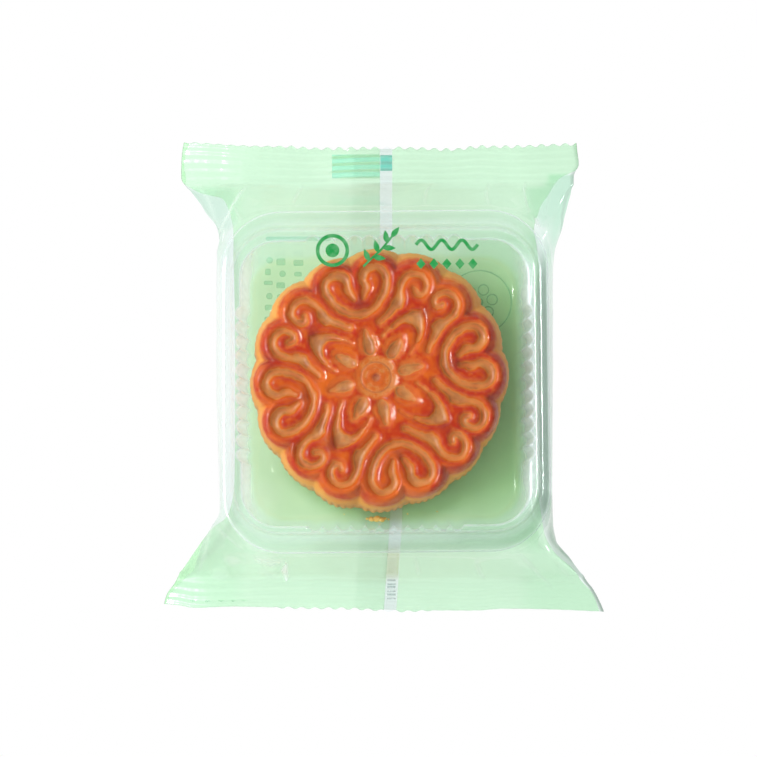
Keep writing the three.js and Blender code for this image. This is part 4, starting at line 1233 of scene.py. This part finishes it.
def crust_material():
    t = Tree("baked_crust")
    relief, proud, wall, rib = (t.attr(k) for k in ("relief", "proud", "wall", "rib"))
    broad = t.noise(55.0, 3.0, 0.55)
    patch = t.noise(230.0, 4.0, 0.6)
    grain = t.noise(1500.0, 3.0, 0.65)
    fine = t.noise(4200.0, 2.0, 0.6)
    # floors to golden slopes to egg-washed ridges, each with ragged borders
    ragged = t.noise(620.0, 3.0, 0.6)
    lift = t.math("ADD", relief, t.math("MULTIPLY", t.math("SUBTRACT", patch, 0.5), 0.95))
    lift = t.math("ADD", lift, t.math("MULTIPLY", t.math("SUBTRACT", ragged, 0.5), 0.85))
    lift = t.math("ADD", lift, t.math("MULTIPLY", t.math("SUBTRACT", broad, 0.5), 0.55))
    split = t.node("ShaderNodeSeparateXYZ", {"Vector": t.coords()})
    cx = t.math("SUBTRACT", split.outputs["X"], -0.00137)
    cy = t.math("SUBTRACT", split.outputs["Y"], -0.00190)
    r = t.math("SQRT", t.math("ADD", t.math("MULTIPLY", cx, cx), t.math("MULTIPLY", cy, cy)))
    lift = t.math("SUBTRACT", lift, t.mapped(r, 0.009, 0.017, 0.07, 0.0))
    wide = t.mapped(proud, -0.46, -0.24)
    tan = t.colour(t.mapped(patch, 0.3, 0.7), (0.310, 0.094, 0.019, 1), (0.485, 0.198, 0.050, 1))
    deep = t.colour(t.mapped(patch, 0.3, 0.7), (0.44, 0.100, 0.014, 1), (0.54, 0.155, 0.026, 1))
    floor = t.colour(wide, deep, tan)
    top = t.colour(t.mapped(lift, 0.02, 0.32), floor, (0.510, 0.150, 0.024, 1))
    top = t.colour(t.mapped(lift, 0.28, 0.60), top, (0.500, 0.086, 0.007, 1))
    red = t.colour(t.mapped(t.math("ADD", t.math("MULTIPLY", broad, 0.5), t.math("MULTIPLY", patch, 0.5)), 0.43, 0.58),
                   (0.385, 0.017, 0.001, 1), (0.540, 0.094, 0.004, 1))
    top = t.colour(t.mapped(lift, 0.60, 0.98), top, red)
    crest = t.mapped(t.math("ADD", proud, t.math("MULTIPLY", t.math("SUBTRACT", patch, 0.5), 0.3)), 0.12, 0.40)
    top = t.colour(t.math("MULTIPLY", crest, 0.40), top, (0.34, 0.020, 0.004, 1))
    burnt = t.math("MULTIPLY", t.attr("scorch"), t.mapped(ragged, 0.25, 0.65, 0.55, 1.0))
    top = t.colour(burnt, top, (0.17, 0.012, 0.006, 1))
    side = t.colour(t.mapped(broad, 0.3, 0.7), (0.63, 0.250, 0.034, 1), (0.69, 0.315, 0.052, 1))
    side = t.colour(t.mapped(patch, 0.42, 0.72, 0.0, 0.40), side, (0.62, 0.185, 0.024, 1))
    # painted shade: darker red-brown in the grooves between the side's ribs
    side = t.colour(t.math("MULTIPLY", rib, 0.60), side, (0.42, 0.105, 0.018, 1))
    ragged_wall = t.math("ADD", wall, t.math("MULTIPLY", t.math("SUBTRACT", ragged, 0.5), 0.5), clamp=True)
    col = t.colour(t.mapped(ragged_wall, 0.04, 0.50), top, side)
    # pinprick pores and flecks
    fleck = t.mapped(grain, 0.62, 0.75)
    col = t.colour(t.math("MULTIPLY", fleck, 0.18), col, (0.80, 0.42, 0.15, 1))
    pore = t.mapped(fine, 0.28, 0.38, 1.0, 0.0)
    col = t.colour(t.math("MULTIPLY", pore, 0.25), col, (0.30, 0.09, 0.03, 1))
    h = t.math("MULTIPLY", grain, 0.6)
    h = t.math("ADD", h, t.math("MULTIPLY", fine, 0.4))
    bump = t.bump(patch, 0.35, 0.0005)
    bump = t.bump(ragged, 0.30, 0.00030, bump)
    bump = t.bump(h, 0.30, 0.00018, bump)
    gloss = t.mapped(lift, 0.15, 0.9, 0.34, 0.085)
    gloss = t.math("ADD", gloss, t.math("MULTIPLY", t.math("SUBTRACT", grain, 0.5), 0.08))
    gloss = t.math("ADD", gloss, t.math("MULTIPLY", t.mapped(wall, 0.0, 0.22), 0.30))
    gloss = t.math("ADD", gloss, t.math("MULTIPLY", t.attr("scorch"), 0.25))
    p = t.node("ShaderNodeBsdfPrincipled", {"Base Color": col, "Roughness": gloss, "Normal": bump,
                                            "Specular IOR Level": 0.27})
    return t.done(p.outputs[0])


def crumb_material():
    t = Tree("crumb")
    n = t.noise(1200.0, 3.0, 0.6)
    col = t.colour(t.mapped(n, 0.35, 0.65), (0.80, 0.42, 0.06, 1), (0.88, 0.60, 0.16, 1))
    p = t.node("ShaderNodeBsdfPrincipled", {"Base Color": col, "Roughness": 0.6, "Normal": t.bump(n, 0.4, 0.0002)})
    return t.done(p.outputs[0])


def floor_material():
    """A lit white sweep: plain white, and lit from within except under the tray, where a painted glow lights the floor
    round the cake's pool of shade and along the right wall.
    """
    t = Tree("studio_floor")
    split = t.node("ShaderNodeSeparateXYZ", {"Vector": t.coords()})
    dx = t.math("SUBTRACT", split.outputs["X"], 0.0407)
    dy = t.math("SUBTRACT", t.math("ABSOLUTE", t.math("SUBTRACT", split.outputs["Y"], -0.0029)), 0.0400)
    out = t.mapped(t.math("MAXIMUM", dx, dy), -0.004, 0.002)
    # painted light: the floor under the tray's left side glows
    out = t.math("MAXIMUM", out, t.mapped(split.outputs["X"], -0.0300, -0.0185, 1.0, 0.0))
    # painted light: under the tray the floor glows except in the soft pool of shade that the cake throws away from the
    # window
    sx = t.math("SUBTRACT", split.outputs["X"], 0.0032)
    sy = t.math("SUBTRACT", split.outputs["Y"], -0.0035)
    r = t.math("SQRT", t.math("ADD", t.math("MULTIPLY", sx, sx), t.math("MULTIPLY", sy, sy)))
    beyond = t.mapped(t.math("ABSOLUTE", t.math("ADD", split.outputs["Y"], 0.003)), 0.020, 0.034, 0.0, 0.42)
    lit = t.math("MAXIMUM", t.mapped(split.outputs["X"], 0.010, 0.033, 1.0, 0.0), beyond)
    pool = t.math("MULTIPLY", lit, t.mapped(r, 0.0312, 0.0375, 0.0, 0.88))
    out = t.math("MAXIMUM", out, pool)
    # painted light: a faint glowing strip along the tray's right wall
    strip = t.mapped(t.math("ABSOLUTE", t.math("SUBTRACT", split.outputs["X"], 0.0353)), 0.0006, 0.0018, 0.12, 0.0)
    strip = t.math("MULTIPLY", strip, t.mapped(t.math("ABSOLUTE", split.outputs["Y"]), 0.020, 0.030, 1.0, 0.0))
    out = t.math("MAXIMUM", out, strip)
    d = t.node("ShaderNodeBsdfDiffuse", {"Color": (0.90, 0.90, 0.90, 1)}).outputs[0]
    e = t.node("ShaderNodeEmission", {"Color": (1, 1, 1, 1), "Strength": 1.0}).outputs[0]
    return t.done(t.shader_mix(out, d, e))


# ------------------------------------------------------------------- pieces

def ride(ob):
    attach(ob, "root")
    return ob


verts, quads, tris, attrs = film_mesh()
wrap = build("wrap", verts, [(quads, 4), (tris, 3)], True, attrs, (film_material(),))
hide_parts("sealed_pack")
ride(wrap)


def seam_mesh():
    """The back seam's folded flap: two layers, with its own crimped waves."""
    ys = np.concatenate([np.linspace(-57.9, -50, 26), np.linspace(-49.4, 47.4, 110), np.linspace(48, 57.9, 32)])
    across = 24
    ring = []
    for y in ys:
        bz = row_at(y)[8]
        fold = float(seam_fold(y))
        x = np.linspace(fold - SEAM_WIDTH + 0.1, fold - 0.05, across + 1)
        sq = float(np.clip(in_crimp(y), 0, 1))
        bzz = mix(bz, 7.8 + (bz - 7.8) * 0.16, sq)
        low = np.full(across + 1, bzz - 0.23)
        high = np.full(across + 1, bzz - 0.05)
        lo = np.column_stack(place(x, np.full_like(x, y), low))
        hi = np.column_stack(place(x, np.full_like(x, y), high))
        ring.append(np.vstack([lo, hi[::-1]]))
    R = np.array(ring)
    k, m = R.shape[:2]
    ids = np.arange(k * m).reshape(k, m)
    quads = np.stack([ids[:-1], np.roll(ids[:-1], -1, 1), np.roll(ids[1:], -1, 1), ids[1:]], -1).reshape(-1, 4)
    caps = []
    for r, flip in ((0, True), (k - 1, False)):
        for j in range(across):
            q = [ids[r, j], ids[r, j + 1], ids[r, m - 2 - j], ids[r, m - 1 - j]]
            caps.append(q[::-1] if flip else q)
    # the strip of it that shows beside the print
    fold = np.array([float(seam_fold(y)) for y in ys])[:, None]
    bare = smooth(R[..., 0], fold - 3.5, fold - 3.1)
    warm = bare * smooth(-R[..., 1], 42, 46) * (1 - smooth(-R[..., 1], 49.5, 52))
    return R.reshape(-1, 3), np.vstack([quads, np.array(caps)]), bare.ravel(), warm.ravel()


verts, quads, bare, warm = seam_mesh()
seam = ride(build("back_seam", verts, [(quads, 4)], True, {"bare": bare, "warm": warm}, (seam_material(),)))

verts, faces, attrs = tray_mesh()
tray = ride(build("tray", verts, faces, True, attrs, (tray_material(),)))

verts, faces, attrs = cake_mesh()
cake = ride(build("cake", verts, faces, True, attrs, (crust_material(),)))


# generic printed shapes on the front film, in the place of words
def front_shapes():
    s = []
    # a ring with a disc
    s.append(flat_ring(-12.2, 29.2, 3.2, 4.1))
    s.append(flat_disc(-12.2, 29.2, 1.7))
    # a sprig of leaves
    stem = curve_through([(-4.6, 25.2), (-2.6, 27.2), (-0.2, 29.4), (2.4, 32.6)], 10)
    s.append(flat_ribbon(stem, 0.55))
    for k, (x, y, a) in enumerate([(-3.2, 26.6, 112), (-2.2, 27.6, -8), (-1.0, 28.7, 104), (0.2, 29.9, -2), (1.2, 31.1, 98), (2.3, 32.5, 52)]):
        s.append(flat_leaf(x, y, a, 3.2, 1.35))
    # a wavy line over a row of diamonds
    x = np.linspace(8.4, 23.6, 60)
    s.append(flat_ribbon(np.column_stack([x, 30.6 + 1.15 * np.sin((x - 8.4) * 2 * math.pi / 5.05)]), 0.85))
    for k in range(5):
        cx, cy = 9.6 + 3.2 * k, 25.9
        s.append(flat_poly([(cx + 1.15, cy), (cx, cy + 1.35), (cx - 1.15, cy), (cx, cy - 1.35)]))
    return s


ride(ink("print_front", front_shapes(), front_z, 0.015, 0.03,
         ink_material("green_ink", [(0.002, 0.22, 0.040, 1)], 0.97)))


def back_shapes():
    s = []
    # two columns of short bars
    rng = np.random.default_rng(4)
    for x0, top_y, rows in ((-30.2, 30.6, 7), (-26.9, 30.2, 6), (-22.6, 29.8, 2)):
        for k in range(rows):
            a, b = rng.uniform(0.0, 0.5), rng.uniform(1.9, 2.7)
            y1 = top_y - k * 3.05
            if (k + rows) % 3 == 1:
                s.append(flat_disc(x0 + 1.2 + a, y1 - 0.9, 0.85, 20))
            else:
                s.append(rounded_rect(x0 + a, y1 - rng.uniform(0.9, 2.2), x0 + b, y1, 0.4))
    # a plain ring with a blossom of dots
    cx, cy = 24.8, 19.0
    s.append(flat_ring(cx, cy, 7.9, 8.25))
    for k in range(6):
        u = unit(60 * k + 12)
        s.append(flat_ring(cx + 3.3 * u[0], cy + 3.3 * u[1], 1.15, 1.5, 28))
    s.append(flat_disc(cx, cy, 1.0, 24))
    # a thin line
    s.append(rounded_rect(-29.5, 34.6, -13.0, 35.7, 0.5))
    return s


ride(ink("print_back", back_shapes(), back_z, 0.03, 0.03,
         ink_material("back_ink", [(0.14, 0.60, 0.40, 1)], 0.20)))


def eye_mark():
    y0, y1 = 51.2, 55.6
    fold = float(seam_fold(53))
    s = [rounded_rect(fold - 3.0, y0, fold + 0.05, y1, 0.1),
         rounded_rect(-12.6, y0 - 1.6, -6.4, y1, 0.1),
         rounded_rect(-6.4, y0 - 1.6, fold - 3.1, y1, 0.1)]
    return s


def crimp_back_z(x, y):
    return back_z(x, y)


def gridded(x0, y0, x1, y1, step=0.45):
    nx, ny = max(int((x1 - x0) / step), 1), max(int((y1 - y0) / step), 1)
    X, Y = np.meshgrid(np.linspace(x0, x1, nx + 1), np.linspace(y0, y1, ny + 1), indexing="ij")
    ids = np.arange((nx + 1) * (ny + 1)).reshape(nx + 1, ny + 1)
    q = np.stack([ids[:-1, :-1], ids[1:, :-1], ids[1:, 1:], ids[:-1, 1:]], -1).reshape(-1, 4)
    t = np.vstack([q[:, [0, 1, 2]], q[:, [0, 2, 3]]])
    return np.column_stack([X.ravel(), Y.ravel()]), t


# the back layer's cut shows through the front one at one end
dashes = [flat_ribbon([(x - 0.75, y), (x, y - 0.1), (x + 0.75, y + 0.05)], [0.12, 0.42, 0.12])
          for x, y in ((-47.5, -56.7), (-43.9, -56.8), (-40.4, -56.7), (-37.4, -56.7), (-34.6, -56.6))]
ride(ink("cut_marks", dashes, crimp_back_z, 0.03, 0.03, ink_material("shade_ink", [(0.30, 0.55, 0.36, 1)], 0.35)))
# plain grey bars on the bare strip's other end
bars = [rounded_rect(seam_fold(-53) - 2.6, y, seam_fold(-53) - 0.5, y + h, 0.1)
        for y, h in ((-51.9, 0.5), (-52.8, 0.35), (-53.6, 0.6), (-54.6, 0.35), (-55.5, 0.5), (-56.4, 0.35))]
ride(ink("seam_bars", bars, crimp_back_z, 0.03, 0.03, ink_material("grey_ink", [(0.42, 0.52, 0.50, 1)], 0.40)))

fold53 = float(seam_fold(53))
ride(ink("eye_mark", [gridded(fold53 - 3.0, 51.6, fold53, 55.6), gridded(-12.6, 49.8, -7.0, 55.8), gridded(-7.0, 49.8, fold53 - 3.1, 55.8)],
         crimp_back_z, 0.03, 0.03,
         ink_material("teal_ink", [(0.08, 0.54, 0.42, 1), (0.34, 0.74, 0.54, 1), (0.28, 0.66, 0.46, 1)], 0.58), tags=[0.0, 1.0, 2.0]))


def crumbs():
    rng = np.random.default_rng(9)
    V, T = [], []
    base = 0
    t = (1 + 5 ** 0.5) / 2
    ico = np.array([(-1, t, 0), (1, t, 0), (-1, -t, 0), (1, -t, 0), (0, -1, t), (0, 1, t), (0, -1, -t), (0, 1, -t),
                    (t, 0, -1), (t, 0, 1), (-t, 0, -1), (-t, 0, 1)], float)
    ico /= np.linalg.norm(ico[0])
    f = np.array([(0, 11, 5), (0, 5, 1), (0, 1, 7), (0, 7, 10), (0, 10, 11), (1, 5, 9), (5, 11, 4), (11, 10, 2), (10, 7, 6), (7, 1, 8),
                  (3, 9, 4), (3, 4, 2), (3, 2, 6), (3, 6, 8), (3, 8, 9), (4, 9, 5), (2, 4, 11), (6, 2, 10), (8, 6, 7), (9, 8, 1)])
    for _ in range(2):  # two subdivisions
        mid, nf, vs = {}, [], list(ico)

        def half(a, b):
            key = (min(a, b), max(a, b))
            if key not in mid:
                v = (vs[a] + vs[b]) / 2
                vs.append(v / np.linalg.norm(v))
                mid[key] = len(vs) - 1
            return mid[key]

        for a, b, c in f:
            ab, bc, ca = half(a, b), half(b, c), half(c, a)
            nf += [(a, ab, ca), (b, bc, ab), (c, ca, bc), (ab, bc, ca)]
        ico, f = np.array(vs), np.array(nf)
    spots = [(-2.7, -36.2, 1.1), (-1.3, -36.1, 1.45), (-0.1, -36.3, 1.15), (0.8, -36.0, 0.8), (-3.7, -36.0, 0.6), (1.7, -36.2, 0.45),
             (6.5, -34.8, 0.35), (-9.5, -34.9, 0.3), (14.0, -34.2, 0.3)]
    levels = np.array(TRAY_LEVELS)[1:9]
    for x, y, r in spots:
        swell = abs(math.sin(math.pi * (x - 1.08 - FLUTE_PITCH * FLUTES / 2) / FLUTE_PITCH)) ** 0.85
        bed = float(np.interp(-(y - 0.35 * r) - 3.05, levels[:, 1] + levels[:, 6] * swell, levels[:, 3]))
        lump = np.ones(len(ico))
        for _ in range(9):
            d = rng.normal(size=3)
            d /= np.linalg.norm(d)
            lump += rng.uniform(-0.22, 0.24) * np.clip(ico @ d, 0, 1) ** 2
        lump += rng.normal(0, 0.05, len(ico))
        v = ico * lump[:, None] * np.array([r * 0.62, r * 0.5, r * 0.42])
        v[:, 2] += -v[:, 2].min() + bed + 0.04
        v[:, 0] += x
        v[:, 1] += y
        V.append(v)
        T.append(f + base)
        base += len(v)
    return build("crumbs", np.vstack(V), [(np.vstack(T), 3)], True, None, (crumb_material(),))


ride(crumbs())

# ----------------------------------------------------- floor, light, camera

floor = build("floor", [(-1500, -1500, -0.06), (1500, -1500, -0.06), (1500, 1500, -0.06), (-1500, 1500, -0.06)],
              [(np.array([[0, 1, 2, 3]]), 4)], False, None, (floor_material(),))


def area(name, spot, aim, size, watts, colour=(1, 1, 1), size_y=None):
    light = bpy.data.lights.new(name, "AREA")
    light.energy = watts
    light.color = colour
    light.shape = "RECTANGLE"
    light.size = size
    light.size_y = size_y or size
    ob = bpy.data.objects.new(name, light)
    scene.collection.objects.link(ob)
    ob.location = Vector(spot)
    ob.rotation_euler = (Vector(aim) - Vector(spot)).to_track_quat("-Z", "Y").to_euler()
    return ob


key = area("key", (-0.58, 0.10, 0.80), (0, 0, 0.01), 0.85, 11.2, (1.0, 0.99, 0.975), 1.05)
key.visible_glossy = False
window_light = area("window", (-0.47, 0.06, 0.76), (0, 0, 0.01), 0.20, 8.0, (1.0, 0.995, 0.985), 0.05)
window_light.visible_diffuse = False

world = bpy.data.worlds.new("studio")
scene.world = world
world.use_nodes = True
wn = world.node_tree
wn.nodes.clear()


def world_ramp(socket, stops):
    ramp = wn.nodes.new("ShaderNodeValToRGB")
    wn.links.new(socket, ramp.inputs[0])
    el = ramp.color_ramp.elements
    el[0].position, el[0].color = stops[0][0], (stops[0][1],) * 3 + (1,)
    el[1].position, el[1].color = stops[-1][0], (stops[-1][1],) * 3 + (1,)
    for p, v in stops[1:-1]:
        el.new(p).color = (v,) * 3 + (1,)
    return ramp.outputs[0]


# a white room, brighter on the window's side and dim on the other and overhead
tc = wn.nodes.new("ShaderNodeTexCoord")
sep = wn.nodes.new("ShaderNodeSeparateXYZ")
wn.links.new(tc.outputs["Generated"], sep.inputs[0])
across = wn.nodes.new("ShaderNodeMath")
across.operation = "MULTIPLY_ADD"
across.inputs[1].default_value, across.inputs[2].default_value = 0.5, 0.5
wn.links.new(sep.outputs["X"], across.inputs[0])
both = wn.nodes.new("ShaderNodeMath")
both.operation = "MULTIPLY"
wn.links.new(world_ramp(across.outputs[0], [(0.0, 0.95), (0.35, 1.0), (0.62, 0.78), (1.0, 0.32)]), both.inputs[0])
wn.links.new(world_ramp(sep.outputs["Z"], [(0.0, 1.0), (0.3, 1.25), (0.72, 1.3), (0.9, 0.8), (0.97, 0.36), (1.0, 0.28)]), both.inputs[1])
bg = wn.nodes.new("ShaderNodeBackground")
wn.links.new(both.outputs[0], bg.inputs[1])
bg.inputs[0].default_value = (0.97, 0.99, 1.0, 1)
wo = wn.nodes.new("ShaderNodeOutputWorld")
wn.links.new(bg.outputs[0], wo.inputs[0])

target = Vector([float(v) for v in (np.array([-0.85, -2.15, 25.0]) + OFF) * MM])
distance, tilt = 0.927, math.radians(86)
cam_data = bpy.data.cameras.new("camera")
cam = bpy.data.objects.new("camera", cam_data)
scene.collection.objects.link(cam)
cam.location = target + distance * Vector((0, -math.cos(tilt), math.sin(tilt)))
cam.rotation_euler = (math.pi / 2 - tilt, 0, 0)
cam_data.lens = 36 * 3752 / 757
cam_data.sensor_width = 36
cam_data.clip_start, cam_data.clip_end = 0.05, 20
scene.camera = cam

scene.view_settings.view_transform = "Standard"
scene.view_settings.look = "None"
scene.view_settings.exposure = 0
scene.view_settings.gamma = 1
scene.cycles.max_bounces = 10
scene.cycles.diffuse_bounces = 5
scene.cycles.glossy_bounces = 4
scene.cycles.transmission_bounces = 6
scene.cycles.transparent_max_bounces = 24
scene.cycles.caustics_reflective = False
scene.cycles.caustics_refractive = False
